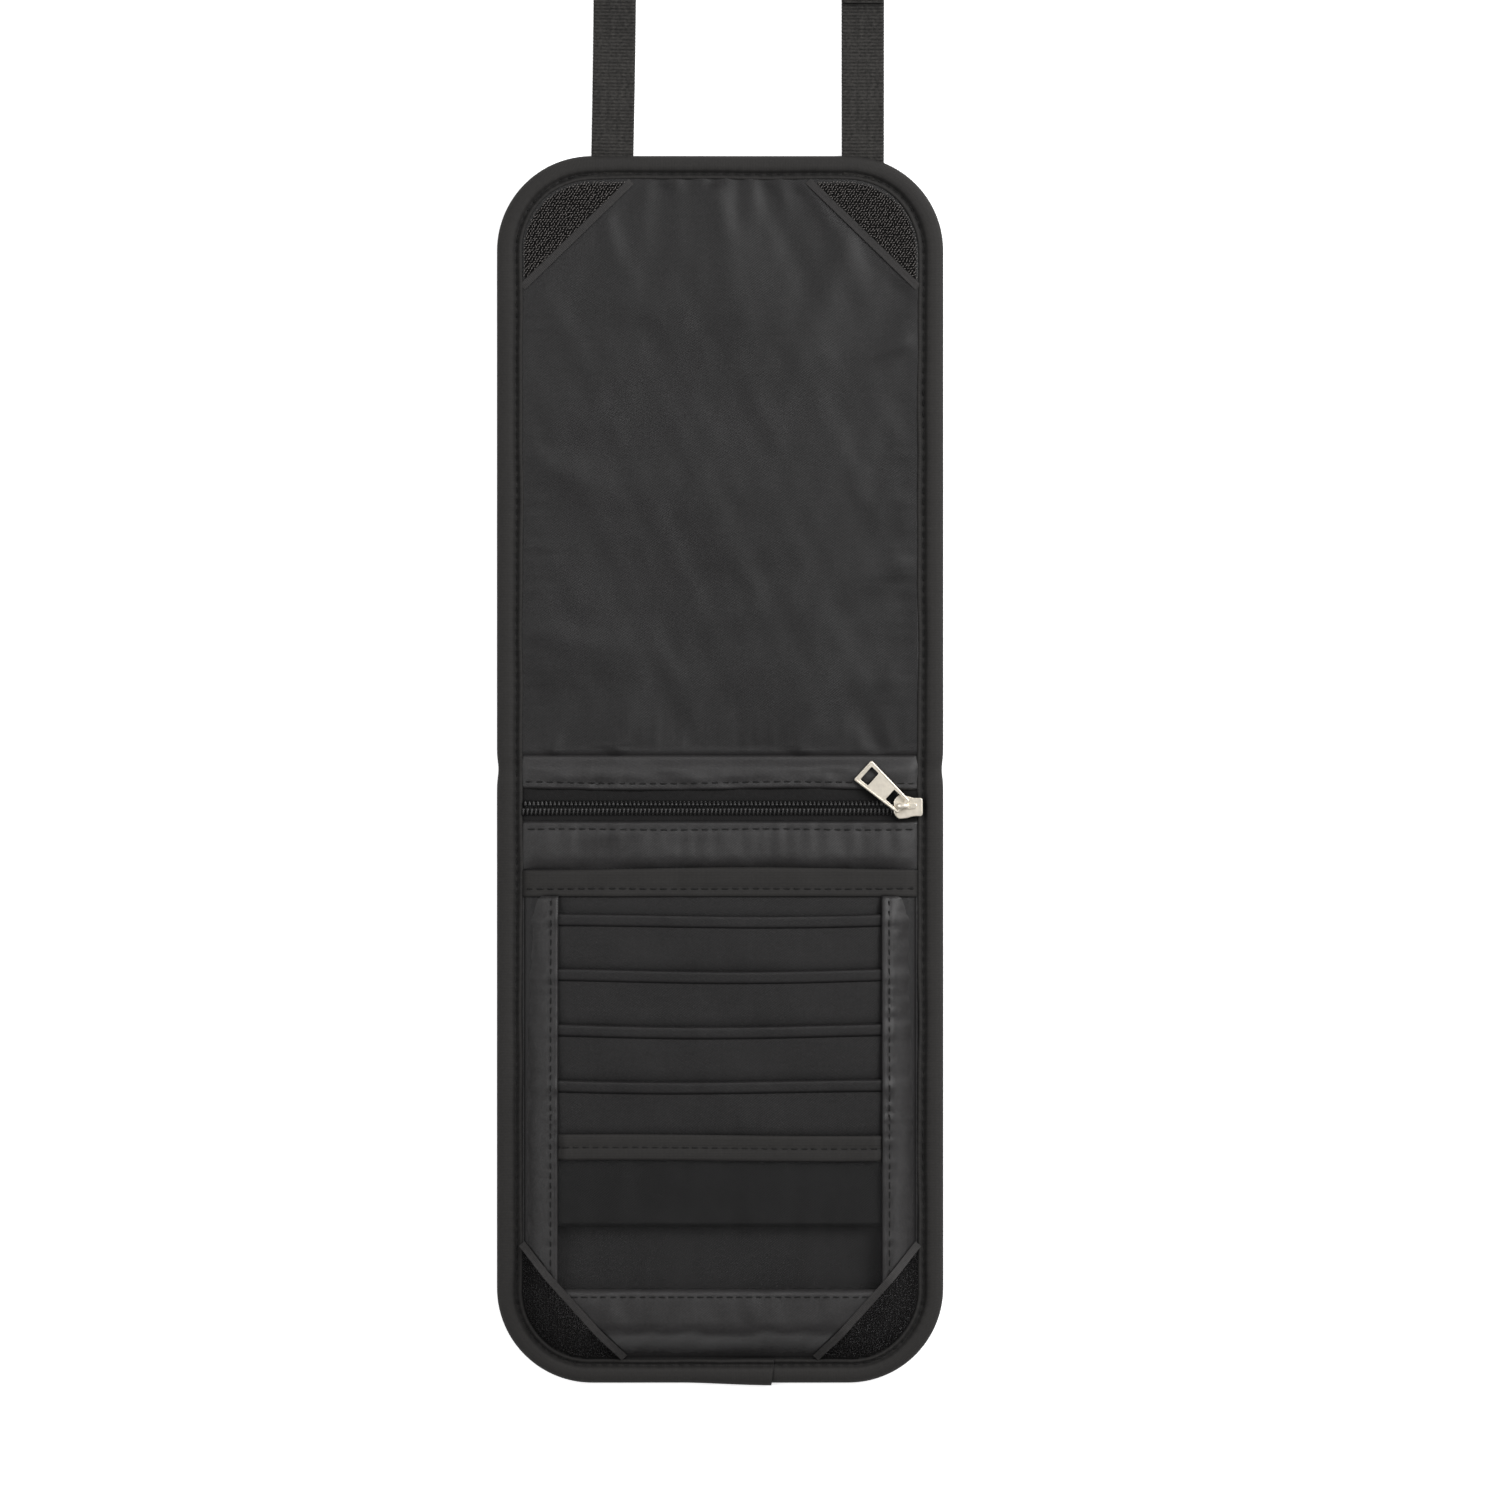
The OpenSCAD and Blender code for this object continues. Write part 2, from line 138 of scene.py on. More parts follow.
def ripple(x, y, size, seed):
    """Soft uneven waves between about -1 and 1, of roughly the given size."""
    rng = random.Random(seed)
    folds = 7
    total = 0 * x
    for _ in range(folds):
        turn = rng.uniform(0, math.pi)
        pace = 2 * math.pi / (size * rng.uniform(0.6, 1.7))
        start = rng.uniform(0, 2 * math.pi)
        total = total + np.sin(pace * (x * math.cos(turn) + y * math.sin(turn)) + start)
    return total * 1.6 / folds


def crease(x, y, start, end, width):
    """A soft ridge from start that fades out towards end."""
    a = np.array(start, float)
    d = np.array(end, float) - a
    t = np.clip(((x - a[0]) * d[0] + (y - a[1]) * d[1]) / (d @ d), 0, 1)
    away = np.hypot(x - a[0] - t * d[0], y - a[1] - t * d[1])
    return bell(away, width * (0.5 + t)) * (1 - t) * ramp(t * 8 + 0.3)


def gathers(along, away, reach, seed):
    """Small puckers square to a seam, between about -1 and 1, that die out with distance from it."""
    rng = random.Random(seed)
    waves = 0 * along
    for _ in range(5):
        waves = waves + np.sin(2 * math.pi * along / rng.uniform(2.8, 8.0) + rng.uniform(0, 2 * math.pi))
    uneven = 0.55 + 0.45 * np.sin(along / 17 + seed) * np.sin(along / 7.3 + 2 * seed)
    return waves / 2.5 * uneven * np.exp(-np.abs(away) / reach)


def beside_edge(x, y):
    """How far along the nearest edge a point lies: along Y at the sides, along X at the ends."""
    return np.where(np.abs(x) > HALF_W - CORNER + 3.5, y, x)


def caught(x, y, z, slope=1.6):
    """The height of a layer that rises to z but is held down where the binding grips it."""
    rise = z - GRIP_Z
    room = 0.15 + slope * np.maximum(past_binding(x, y) + 0.5, 0)
    return GRIP_Z + rise * room / (np.abs(rise) + room)


FOLD_ROWS = np.linspace(-8, 8, 33)           # places along Y for extra rows of points where the pouch folds


def outline_rows(y0, y1, side, end, step):
    """Distances along Y from y0 to y1, closer together round the pouch's corners and at the fold."""
    radius = CORNER - max(side, end)
    straight = HALF_L - end - radius
    bend = straight + radius * np.sin(np.linspace(0.03, math.pi / 2, 18))
    even = np.linspace(y0, y1, int(abs(y1 - y0) / step) + 2)
    even = np.concatenate([even[np.abs(even) < straight], FOLD_ROWS])
    even = even[(even > y0) & (even < y1)]
    inside = [v for v in np.concatenate([bend, -bend]) if y0 < v < y1]
    return np.unique(np.round(np.concatenate([even, inside, [y0, y1]]), 4))


def half_width(y, side, end):
    """Half the width across the outline at y, drawn in by its side and end margins."""
    radius = CORNER - max(side, end)
    over = np.clip(np.abs(y) - (HALF_L - end - radius), 0, radius)
    return HALF_W - side - radius + np.sqrt(radius * radius - over * over)


def outline_grid(y0, y1, side, end, step):
    """Rows of points across the pouch that follow its rounded outline."""
    ys = outline_rows(y0, y1, side, end, step)
    across = np.linspace(-1, 1, int(2 * HALF_W / step) + 1)
    x = half_width(ys, side, end)[:, None] * across[None, :]
    return x, np.repeat(ys[:, None], len(across), axis=1)


def box_grid(x0, x1, y0, y1, step):
    """Rows of points over a plain rectangle."""
    xs = np.linspace(x0, x1, max(2, int(abs(x1 - x0) / step) + 1))
    ys = np.linspace(y0, y1, max(2, int(abs(y1 - y0) / step) + 1))
    return np.meshgrid(xs, ys)


# ---- Meshes -------------------------------------------------------------------

def add_object(name, data, material=None):
    """Puts a mesh, curve, lamp or camera into the scene."""
    made = bpy.data.objects.new(name, data)
    bpy.context.scene.collection.objects.link(made)
    if material is not None:
        data.materials.append(material)
    return made


def mesh_object(name, points, faces, material, uv):
    """A smooth mesh from points in millimetres; uv is where each lies on its fabric, also in millimetres."""
    mesh = bpy.data.meshes.new(name)
    mesh.from_pydata((np.asarray(points, float) * MM).tolist(), [], [list(map(int, f)) for f in faces])
    layer = mesh.uv_layers.new(name="cloth_mm")
    corner_points = np.empty(len(mesh.loops), np.int32)
    mesh.loops.foreach_get("vertex_index", corner_points)
    layer.data.foreach_set("uv", np.asarray(uv, np.float32)[corner_points].ravel())
    mesh.polygons.foreach_set("use_smooth", [True] * len(mesh.polygons))
    mesh.update()
    return add_object(name, mesh, material)


def grid_faces(rows, columns, closed_rows=False, closed_columns=False, keep=None):
    """Quads over a grid of points, joined round at its ends if closed."""
    faces = []
    for r in range(rows if closed_rows else rows - 1):
        for c in range(columns if closed_columns else columns - 1):
            if keep is not None and not keep[r, c]:
                continue
            r2, c2 = (r + 1) % rows, (c + 1) % columns
            faces.append((r * columns + c, r * columns + c2, r2 * columns + c2, r2 * columns + c))
    return faces


def tube_faces(rings, sides, closed=False):
    """Quads round a tube, with a cap on each end unless the tube is closed into a ring."""
    faces = grid_faces(rings, sides, closed_rows=closed, closed_columns=True)
    if closed:
        return faces
    last = (rings - 1) * sides
    return faces + [tuple(range(sides))[::-1], tuple(range(last, last + sides))]


def tube(name, points, across, along, material, closed=False):
    """A tube through rows of points; across and along are each point's place on the fabric."""
    uv = np.stack(np.broadcast_arrays(across[None], along[:, None]), -1)
    faces = tube_faces(*points.shape[:2], closed)
    return mesh_object(name, points.reshape(-1, 3), faces, material, uv.reshape(-1, 2))


def thicken(piece, thickness):
    """Gives a sheet its thickness, downwards."""
    solid = piece.modifiers.new("thickness", "SOLIDIFY")
    solid.thickness = thickness * MM
    solid.offset = -1
    return piece


def sheet(name, x, y, z, material, thickness, keep=None):
    """A fabric sheet over a grid of points."""
    points = np.stack([x, y, z], -1).reshape(-1, 3)
    uv = np.stack([x, y], -1).reshape(-1, 2)
    piece = mesh_object(name, points, grid_faces(*x.shape, keep=keep), material, uv)
    return thicken(piece, thickness)


def frames_along(path, across):
    """Unit vectors across and up out of a ribbon at each point of its path."""
    ahead = np.gradient(path, axis=0)
    ahead /= np.linalg.norm(ahead, axis=1)[:, None]
    across = across - ahead * np.sum(across * ahead, axis=1)[:, None]
    across /= np.linalg.norm(across, axis=1)[:, None]
    return across, np.cross(ahead, across)


ALONG_X, ALONG_Y = (1.0, 0.0, 0.0), (0.0, 1.0, 0.0)


def same_way(path, direction):
    """One direction, repeated for each point of a path."""
    return np.tile(np.array(direction), (len(path), 1))


def lengths_along(path):
    """How far along a path each of its points lies."""
    steps = np.linalg.norm(np.diff(path, axis=0), axis=1)
    return np.concatenate([[0], np.cumsum(steps)])


def resample(path, step, *others):
    """The path and the rows that go with it, at even steps along its length."""
    run = lengths_along(path)
    even = np.linspace(0, run[-1], max(2, int(run[-1] / step)))
    return [np.stack([np.interp(even, run, column) for column in rows.T], -1) for rows in (path, *others)]


def carried(path, across, shape):
    """The points of a profile of (across, up) points carried along a path."""
    across, up = frames_along(path, across)
    return path[:, None] + across[:, None] * shape[..., :1] + up[:, None] * shape[..., 1:]


def circle(radius_across, radius_up, steps, middle_up=0.0):
    """A closed round profile of (across, up) points."""
    turns = np.linspace(0, 2 * math.pi, steps + 1)[:-1]
    return [(radius_across * math.cos(a), middle_up + radius_up * math.sin(a)) for a in turns]


def sweep(name, path, across, profile, material, closed=False, swell=None):
    """Carries a closed profile of (across, up) points along a path; swell changes it on its way."""
    profile = np.asarray(profile, float)
    run = lengths_along(path)
    shape = np.repeat(profile[None], len(path), axis=0)
    if swell is not None:
        shape = swell(shape, run)
    return tube(name, carried(path, across, shape), lengths_along(profile), run, material, closed)


def capsule(sides=6, rings=5):
    """A rounded bar along X, one unit long, wide and high."""
    points = [(-0.5, 0, 0)]
    for turn in np.linspace(0, math.pi, rings + 2)[1:-1]:
        r = 0.5 * math.sin(turn) ** 0.5
        points += [(-0.5 * math.cos(turn), py, pz) for py, pz in circle(r, r, sides)]
    points.append((0.5, 0, 0))
    last = 1 + (rings - 1) * sides
    faces = []
    for k in range(sides):
        faces.append((0, 1 + (k + 1) % sides, 1 + k))
        faces.append((len(points) - 1, last + k, last + (k + 1) % sides))
    faces += [tuple(v + 1 for v in quad) for quad in grid_faces(rings, sides, closed_columns=True)]
    return np.array(points), faces


def bent_wire(radius, wire, turn, stem=0.0, steps=6, sides=4):
    """A hook or loop of wire standing in the XZ plane: a stem if any, then an arc through turn radians."""
    centres = [(-radius, 0, 0)] if stem else []
    centres += [(-radius * math.cos(turn * i / steps), 0, stem + radius * math.sin(turn * i / steps))
                for i in range(steps + 1)]
    path = np.array(centres, float)
    round_wire = np.array(circle(wire, wire, sides))[None]
    points = carried(path, same_way(path, ALONG_Y), round_wire)
    return points.reshape(-1, 3), tube_faces(len(path), sides)


def copies(name, shape, places, material):
    """Many copies of a small shape in one mesh, each at a (centre, turn about Z, size) place."""
    base, faces = shape
    points, all_faces = [], []
    for i, (centre, turn, size) in enumerate(places):
        scaled = base * np.array(size)
        c, s = math.cos(turn), math.sin(turn)
        turned = scaled @ np.array([[c, s, 0], [-s, c, 0], [0, 0, 1]])
        points.append(turned + np.array(centre))
        all_faces += [tuple(v + i * len(base) for v in f) for f in faces]
    points = np.concatenate(points)
    return mesh_object(name, points, all_faces, material, points[:, :2])


def surface_of(piece):
    """A piece's surface with its modifiers, for finding heights on it."""
    return BVHTree.FromObject(piece, bpy.context.evaluated_depsgraph_get())


def height_on(surface, x, y, fallback):
    """The surface's height under a point, looking down from above."""
    hit = surface.ray_cast(Vector((x * MM, y * MM, 0.05)), Vector((0, 0, -1)))[0]
    return hit.z / MM if hit else fallback


def plate(name, loops, z0, z1, bevel, material):
    """A flat plate with rounded edges; the first loop is its outline and any others are holes."""
    curve = bpy.data.curves.new(name, "CURVE")
    curve.dimensions = "2D"
    curve.fill_mode = "BOTH"
    curve.extrude = ((z1 - z0) / 2 - bevel) * MM
    curve.bevel_depth = bevel * MM
    curve.bevel_resolution = 3
    curve.offset = -bevel * MM
    for loop in loops:
        spline = curve.splines.new("POLY")
        spline.points.add(len(loop) - 1)
        for point, (px, py) in zip(spline.points, loop):
            point.co = (px * MM, py * MM, 0, 1)
        spline.use_cyclic_u = True
    holder = add_object(name + "_curve", curve)
    bpy.context.view_layer.update()
    mesh = bpy.data.meshes.new_from_object(holder.evaluated_get(bpy.context.evaluated_depsgraph_get()))
    bpy.data.objects.remove(holder)
    mesh.transform(Matrix.Translation((0, 0, (z0 + z1) / 2 * MM)))
    mesh.name = name
    mesh.materials.clear()
    return add_object(name, mesh, material)


def rectangle(x0, x1, y0, y1):
    """A rectangle's corners, anticlockwise from its lower left."""
    return [(x0, y0), (x1, y0), (x1, y1), (x0, y1)]


def round_corners(corners, radius, steps=6):
    """A closed loop of points round a polygon's corners, each rounded off."""
    loop = []
    n = len(corners)
    for i in range(n):
        here = np.array(corners[i], float)
        back = np.array(corners[i - 1], float) - here
        on = np.array(corners[(i + 1) % n], float) - here
        r = min(radius, 0.48 * np.linalg.norm(back), 0.48 * np.linalg.norm(on))
        a, b = here + back / np.linalg.norm(back) * r, here + on / np.linalg.norm(on) * r
        for k in range(steps + 1):
            t = k / steps
            loop.append(tuple(a * (1 - t) ** 2 + 2 * here * t * (1 - t) + b * t * t))
    return loop


def join(name, parts):
    """Joins plain meshes into the first of them."""
    bm = bmesh.new()
    for part in parts:
        part.data.transform(part.matrix_world)
        bm.from_mesh(part.data)
    bm.to_mesh(parts[0].data)
    bm.free()
    for part in parts[1:]:
        bpy.data.objects.remove(part)
    parts[0].name = name
    parts[0].matrix_world = Matrix.Identity(4)
    return parts[0]


# ---- Materials ----------------------------------------------------------------

class Nodes:
    """Short ways to build the nodes of one material, or of the world round the scene."""

    def __init__(self, owner, surface="Principled BSDF"):
        owner.use_nodes = True
        self.tree = owner.node_tree
        self.surface = self.tree.nodes[surface]

    def add(self, kind, **inputs):
        """A new node with its inputs linked or set."""
        node = self.tree.nodes.new(kind)
        for key, value in inputs.items():
            self.feed(node, key, value)
        return node

    def feed(self, node, key, value):
        """Links or sets a node's input, named with _ for a space, or i and its number."""
        socket = node.inputs[int(key[1:]) if key[0] == "i" and key[1:].isdigit() else key.replace("_", " ")]
        if isinstance(value, bpy.types.NodeSocket):
            self.tree.links.new(value, socket)
        else:
            socket.default_value = value

    def math(self, operation, a, b=0.0):
        node = self.tree.nodes.new("ShaderNodeMath")
        node.operation = operation
        self.feed(node, "i0", a)
        self.feed(node, "i1", b)
        return node.outputs[0]

    def times(self, a, b):
        return self.math("MULTIPLY", a, b)

    def plus(self, a, b):
        return self.math("ADD", a, b)

    def scaled(self, vector, share):
        """A colour or place with each of its numbers multiplied by share."""
        node = self.tree.nodes.new("ShaderNodeVectorMath")
        node.operation = "SCALE"
        self.feed(node, "i0", vector)
        self.feed(node, "Scale", share)
        return node.outputs[0]

    def mix(self, colour, other, amount):
        """Colour with the other laid over it by amount (0 to 1)."""
        node = self.tree.nodes.new("ShaderNodeMix")
        node.data_type = "RGBA"
        self.feed(node, "i0", amount)
        self.feed(node, "i6", colour)
        self.feed(node, "i7", other)
        return node.outputs[2]

    def cloth_place(self):
        """Where a point lies on its fabric, in millimetres, as u and v."""
        place = self.add("ShaderNodeUVMap")
        split = self.add("ShaderNodeSeparateXYZ", Vector=place.outputs[0])
        return place.outputs[0], split.outputs[0], split.outputs[1]

    def object_place(self):
        """A point's own place, in millimetres."""
        return self.scaled(self.add("ShaderNodeTexCoord").outputs["Object"], 1 / MM)

    def noise(self, place, size, detail=3.0, stretch=(1, 1, 1)):
        """Soft noise between 0 and 1 with features of about the given size."""
        mapped = self.add("ShaderNodeMapping", Vector=place)
        mapped.inputs["Scale"].default_value = [s / size for s in stretch]
        return self.add("ShaderNodeTexNoise", Vector=mapped.outputs[0], Scale=1.0, Detail=detail).outputs[0]

    def wave(self, along, pitch):
        """Ridges across a direction, between 0 and 1."""
        turned = self.times(along, 2 * math.pi / pitch)
        return self.plus(self.times(self.math("SINE", turned), 0.5), 0.5)

    def shade(self, base, amount, spread):
        """Base colour made lighter or darker by amount (0 to 1), over the given spread."""
        low = [c * (1 - spread) for c in base] + [1]
        high = [c * (1 + spread) for c in base] + [1]
        return self.mix(low, high, amount)

    def painted_crevice_shade(self, colour, reach, darkest):
        """Colour darkened in folds and seams as painted shade, where light doesn't reach."""
        open_sky = self.add("ShaderNodeAmbientOcclusion", Distance=reach * MM)
        open_sky.samples = 6
        share = self.times(open_sky.outputs["AO"], open_sky.outputs["AO"])
        return self.scaled(colour, self.plus(self.times(share, 1 - darkest), darkest))

    def bump(self, height, depth, strength=1.0):
        """Bumps of the given depth in millimetres on the surface."""
        node = self.add("ShaderNodeBump", Height=height, Strength=strength, Distance=depth * MM)
        self.feed(self.surface, "Normal", node.outputs[0])

    def set(self, **values):
        """Sets inputs of the surface, or of the world's background."""
        for key, value in values.items():
            self.feed(self.surface, key, value)


SLUB = 1.6                                   # width of a thick spot in a yarn
WEAR = 0.36                                  # how far worn patches are lightened
WEAVES = {
    # how far along u and v one repeat of the weave's two waves goes, as pairs of (u, v) shares
    "twill": ((1.0, 0.6), (0.25, -1.0)),
    "plain": ((1.0, 0.0), (0.0, 1.0)),
    "ribs": ((0.0, 1.0), (0.35, 0.0)),
    "herringbone": ((1.0, 1.0), (1.0, -1.0)),
}


def fabric(name, base, weave, pitch, rough, depth=0.04, sheen=0.05, gloss=0.35, contrast=0.22):
    """A woven fabric: yarn waves, uneven yarns, soft patches of wear, a few specks of lint, and painted shade
    between the yarns and in folds and seams.
    """
    material = bpy.data.materials.new(name)
    n = Nodes(material)
    place, u, v = n.cloth_place()
    waves = []
    for along_u, along_v in WEAVES[weave]:
        along = n.plus(n.times(u, along_u), n.times(v, along_v))
        waves.append(n.wave(along, pitch))
    # painted shade: the weave's waves darken the colour between the yarns, besides raising the bump
    yarns = n.times(waves[0], n.plus(n.times(waves[1], 0.5), 0.5))
    slubs_along = n.noise(place, SLUB, 2.0, (1, 0.12, 1))
    slubs_across = n.noise(place, SLUB, 2.0, (0.12, 1, 1))
    slubs = n.times(slubs_along, slubs_across)
    fine_fuzz = n.times(n.noise(place, 0.35, 3.0), 0.5)
    fuzz = n.plus(fine_fuzz, n.times(n.noise(place, 0.9, 2.0), 0.5))
    patches = n.noise(place, 22.0, 4.0)
    lint = n.math("GREATER_THAN", n.noise(place, 0.8, 2.0), 0.77)
    tone = n.plus(n.times(yarns, 0.4), n.times(slubs, 0.8))
    tone = n.plus(tone, n.times(n.math("SUBTRACT", fuzz, 0.5), 2.2))
    colour = n.shade(base, tone, contrast)
    worn = n.math("MAXIMUM", n.times(n.math("SUBTRACT", patches, 0.4), WEAR), 0.0)
    colour = n.mix(colour, [c * 2.2 + 0.004 for c in base] + [1], worn)
    colour = n.mix(colour, (0.20, 0.19, 0.18, 1), n.times(lint, 0.12))
    # painted shade: the colour is darkened in folds and seams by ambient occlusion
    colour = n.painted_crevice_shade(colour, reach=4.0, darkest=0.12)
    n.bump(n.plus(yarns, n.times(fuzz, 0.4)), depth)
    n.set(Base_Color=colour, Roughness=n.plus(rough - 0.08, n.times(patches, 0.16)))
    n.set(Sheen_Weight=sheen, Sheen_Roughness=0.45, Sheen_Tint=(0.75, 0.74, 0.75, 1))
    n.set(Specular_IOR_Level=gloss)
    return material


def thread_material(name, base):
    material = bpy.data.materials.new(name)
    n = Nodes(material)
    place, u, v = n.cloth_place()
    twist = n.wave(n.plus(u, v), 0.35)
    n.bump(twist, 0.05)
    n.set(Base_Color=n.shade(base, n.noise(place, 3.0), 0.35), Roughness=0.6)
    n.set(Sheen_Weight=0.03, Specular_IOR_Level=0.25)
    return material


def metal_material(name, base):
    """Satin nickel plate: soft mottling, fine rub marks and duller patches."""
    material = bpy.data.materials.new(name)
    n = Nodes(material)
    place = n.object_place()
    mottle = n.noise(place, 1.2, 5.0)
    rubbed = n.noise(place, 0.5, 3.0, (1, 0.08, 1))
    marks = n.plus(n.times(mottle, 0.7), n.times(rubbed, 0.3))
    colour = n.shade(base, marks, 0.16)
    n.bump(n.plus(mottle, n.times(rubbed, 0.5)), 0.02, 0.6)
    n.set(Base_Color=colour, Metallic=0.6, Roughness=n.plus(0.26, n.times(mottle, 0.22)))
    return material


def plastic_material(name, base, rough, speckle):
    material = bpy.data.materials.new(name)
    n = Nodes(material)
    place = n.object_place()
    grain = n.noise(place, 0.5, 4.0)
    n.bump(grain, 0.03, 0.5)
    n.set(Base_Color=n.shade(base, grain, speckle))
    n.set(Roughness=n.plus(rough, n.times(grain, 0.2)))
    return material


def film_material(name):
    """Clear flexible film: see-through, with a soft uneven gloss, faint scuffs and a little haze."""
    material = bpy.data.materials.new(name)
    n = Nodes(material)
    place = n.cloth_place()[0]
    waves = n.noise(place, 26.0, 0.5)
    scuffs = n.noise(place, 5.0, 4.0, (1, 0.15, 1))
    bump = n.add("ShaderNodeBump", Height=waves, Strength=1.0, Distance=1.5 * MM)
    clear = n.add("ShaderNodeBsdfTransparent")
    clear.inputs["Color"].default_value = (0.94, 0.94, 0.94, 1)
    gloss = n.add("ShaderNodeBsdfGlossy", Roughness=0.28, Normal=bump.outputs[0])
    gloss.inputs["Color"].default_value = (0.84, 0.84, 0.85, 1)
    edge_on = n.add("ShaderNodeLayerWeight", Blend=0.5, Normal=bump.outputs[0]).outputs["Facing"]
    glance = n.times(n.math("POWER", edge_on, 5.0), 0.7)
    shine = n.plus(glance, n.plus(n.times(scuffs, 0.012), 0.006))
    mix = n.add("ShaderNodeMixShader")
    n.feed(mix, "i0", shine)
    n.feed(mix, "i1", clear.outputs[0])
    n.feed(mix, "i2", gloss.outputs[0])
    n.tree.nodes.remove(n.surface)
    n.tree.links.new(mix.outputs[0], n.tree.nodes["Material Output"].inputs[0])
    return material


TWILL = 0.42                                 # pitch of the lining's and the pockets' diagonal weave
RIB = 0.96                                   # pitch of the webbing's crosswise ribs
SHELL = fabric("outer_fabric", (0.016, 0.0153, 0.0157), "plain", 0.6, 0.48, contrast=0.3)
LINING = fabric("lining_fabric", (0.0116, 0.0108, 0.0111), "twill", TWILL, 0.42, gloss=0.29, contrast=0.34)
POCKET = fabric("pocket_fabric", (0.0235, 0.0221, 0.0224), "twill", TWILL, 0.42, gloss=0.36, contrast=0.30)
TAPE = fabric("binding_tape", (0.0245, 0.0231, 0.0222), "ribs", 0.45, 0.75, gloss=0.25, contrast=0.12)
# painted shade: the webbing's high contrast darkens its colour in the valleys between its ribs, in step with
# their swell
WEBBING = fabric("webbing", (0.036, 0.034, 0.032), "ribs", RIB, 0.75, depth=0.12, gloss=0.2, contrast=0.75)
ZIP_TAPE = fabric("zip_tape", (0.014, 0.0135, 0.0135), "herringbone", 0.7, 0.85, gloss=0.15, contrast=0.3)
SELVAGE = fabric("fastener_selvage", (0.029, 0.027, 0.0265), "ribs", 0.5, 0.7, depth=0.06, contrast=0.35)
GROUND = fabric("fastener_ground", (0.010, 0.0095, 0.0095), "plain", 0.8, 0.95, depth=0.1, gloss=0.1)
PILE = fabric("loop_fastener", (0.022, 0.0205, 0.0205), "plain", 0.6, 0.9, depth=0.1, sheen=0.4, gloss=0.15)
THREAD = thread_material("thread", (0.0065, 0.0062, 0.006))
COIL = plastic_material("zip_coil", (0.024, 0.023, 0.023), 0.25, 0.3)
HOOKS = plastic_material("hook_fastener", (0.125, 0.115, 0.110), 0.25, 0.8)
GLIDE = plastic_material("black_plastic", (0.010, 0.010, 0.010), 0.3, 0.3)
NICKEL = metal_material("nickel_metal", (0.90, 0.83, 0.71))
FILM = film_material("clear_film")


# ---- Placing pieces -----------------------------------------------------------

def stands_for(nodes):
    """Hides the CAD nodes that the piece stands for, if any are named."""
    if nodes:
        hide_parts(*nodes)


def on_body(piece, body, material_slot, *nodes):
    """The piece moves with a CAD body."""
    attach(piece, body)
    stands_for(nodes)


def between(piece, a, b, zone, material_slot, *nodes):
    """A piece that lies between two CAD bodies over a zone; its place is baked into its mesh."""
    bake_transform(piece)
    stands_for(nodes)


def over_fold(piece, material_slot, *nodes):
    """The piece lies across the pouch's fold."""
    between(piece, "card_side", "flap", FOLD_ZONE, material_slot, *nodes)


CLOTH_SCALE = 10.0                           # the cloth is worked out enlarged, where Blender's is steadier
CLOTH_FRAMES = 20


def settle(piece, pinned, growth, limit, share):
    """Lets a sheet buckle as cloth a little too big for its pinned edge; keeps a share of the movement."""
    thickness = piece.modifiers["thickness"].thickness / MM
    piece.modifiers.clear()
    rest = np.array([v.co for v in piece.data.vertices])
    piece.data.vertices.foreach_set("co", (rest * CLOTH_SCALE).astype(np.float32).ravel())
    group = piece.vertex_groups.new(name="pinned")
    for i, weight in enumerate(pinned(rest[:, 0] / MM, rest[:, 1] / MM)):
        group.add([i], float(weight), "REPLACE")
    cloth = piece.modifiers.new("settle", "CLOTH")
    cloth.settings.quality = 6
    cloth.settings.mass = 0.15
    cloth.settings.tension_stiffness = 18
    cloth.settings.compression_stiffness = 18
    cloth.settings.shear_stiffness = 8
    cloth.settings.bending_stiffness = 0.6
    cloth.settings.vertex_group_mass = "pinned"
    cloth.settings.shrink_min = -growth
    cloth.settings.effector_weights.gravity = 0
    cloth.collision_settings.use_collision = False
    cloth.point_cache.frame_start = 1
    cloth.point_cache.frame_end = CLOTH_FRAMES
    for number in range(1, CLOTH_FRAMES + 1):
        bpy.context.scene.frame_set(number)
    moved = piece.evaluated_get(bpy.context.evaluated_depsgraph_get()).data
    found = np.array([v.co for v in moved.vertices]) / CLOTH_SCALE
    piece.modifiers.clear()
    piece.vertex_groups.clear()
    shift = share * np.clip(found - rest, -limit * MM, limit * MM)
    piece.data.vertices.foreach_set("co", (rest + shift).astype(np.float32).ravel())
    piece.data.update()
    bpy.context.scene.frame_set(1)
    thicken(piece, thickness)


STITCH = 0.72                                # how much of a row's pitch is thread, not needle hole
STITCH_WIDE, STITCH_HIGH = 0.5, 0.42


def stitch_places(line, surface, sink, pitch, rng, fallback):
    """Stitches end to end along a line, each pressed into the surface by sink."""
    line = np.asarray(line, float)
    flat = np.column_stack([line, np.zeros(len(line))])
    even = resample(flat, pitch)[0][:, :2]
    places = []
    for a, b in zip(even[:-1], even[1:]):
        middle = (a + b) / 2
        turn = math.atan2(*(b - a)[::-1]) + rng.uniform(-0.04, 0.04)
        z = height_on(surface, middle[0], middle[1], fallback)
        size = (pitch * STITCH * rng.uniform(0.92, 1.06), STITCH_WIDE, STITCH_HIGH)
        places.append(((middle[0], middle[1], z - sink), turn, size))
    return places


def stitch_row(name, line, piece, pitch, seed, fallback):
    """One row of thread along a line on a piece."""
    places = stitch_places(line, surface_of(piece), 0.02, pitch, random.Random(seed), fallback)
    return copies(name, capsule(), places, THREAD)


def stitches_across(name, piece, half, y, wander, pitch, seed, fallback):
    """A row of stitches from side to side at y, wandering by (how far, over what length)."""
    xs = np.linspace(-half, half, 60)
    line = np.column_stack([xs, y + wander[0] * np.sin(xs / wander[1])])
    return stitch_row(name, line, piece, pitch, seed, fallback)


# ---- Shell, lining and binding ------------------------------------------------

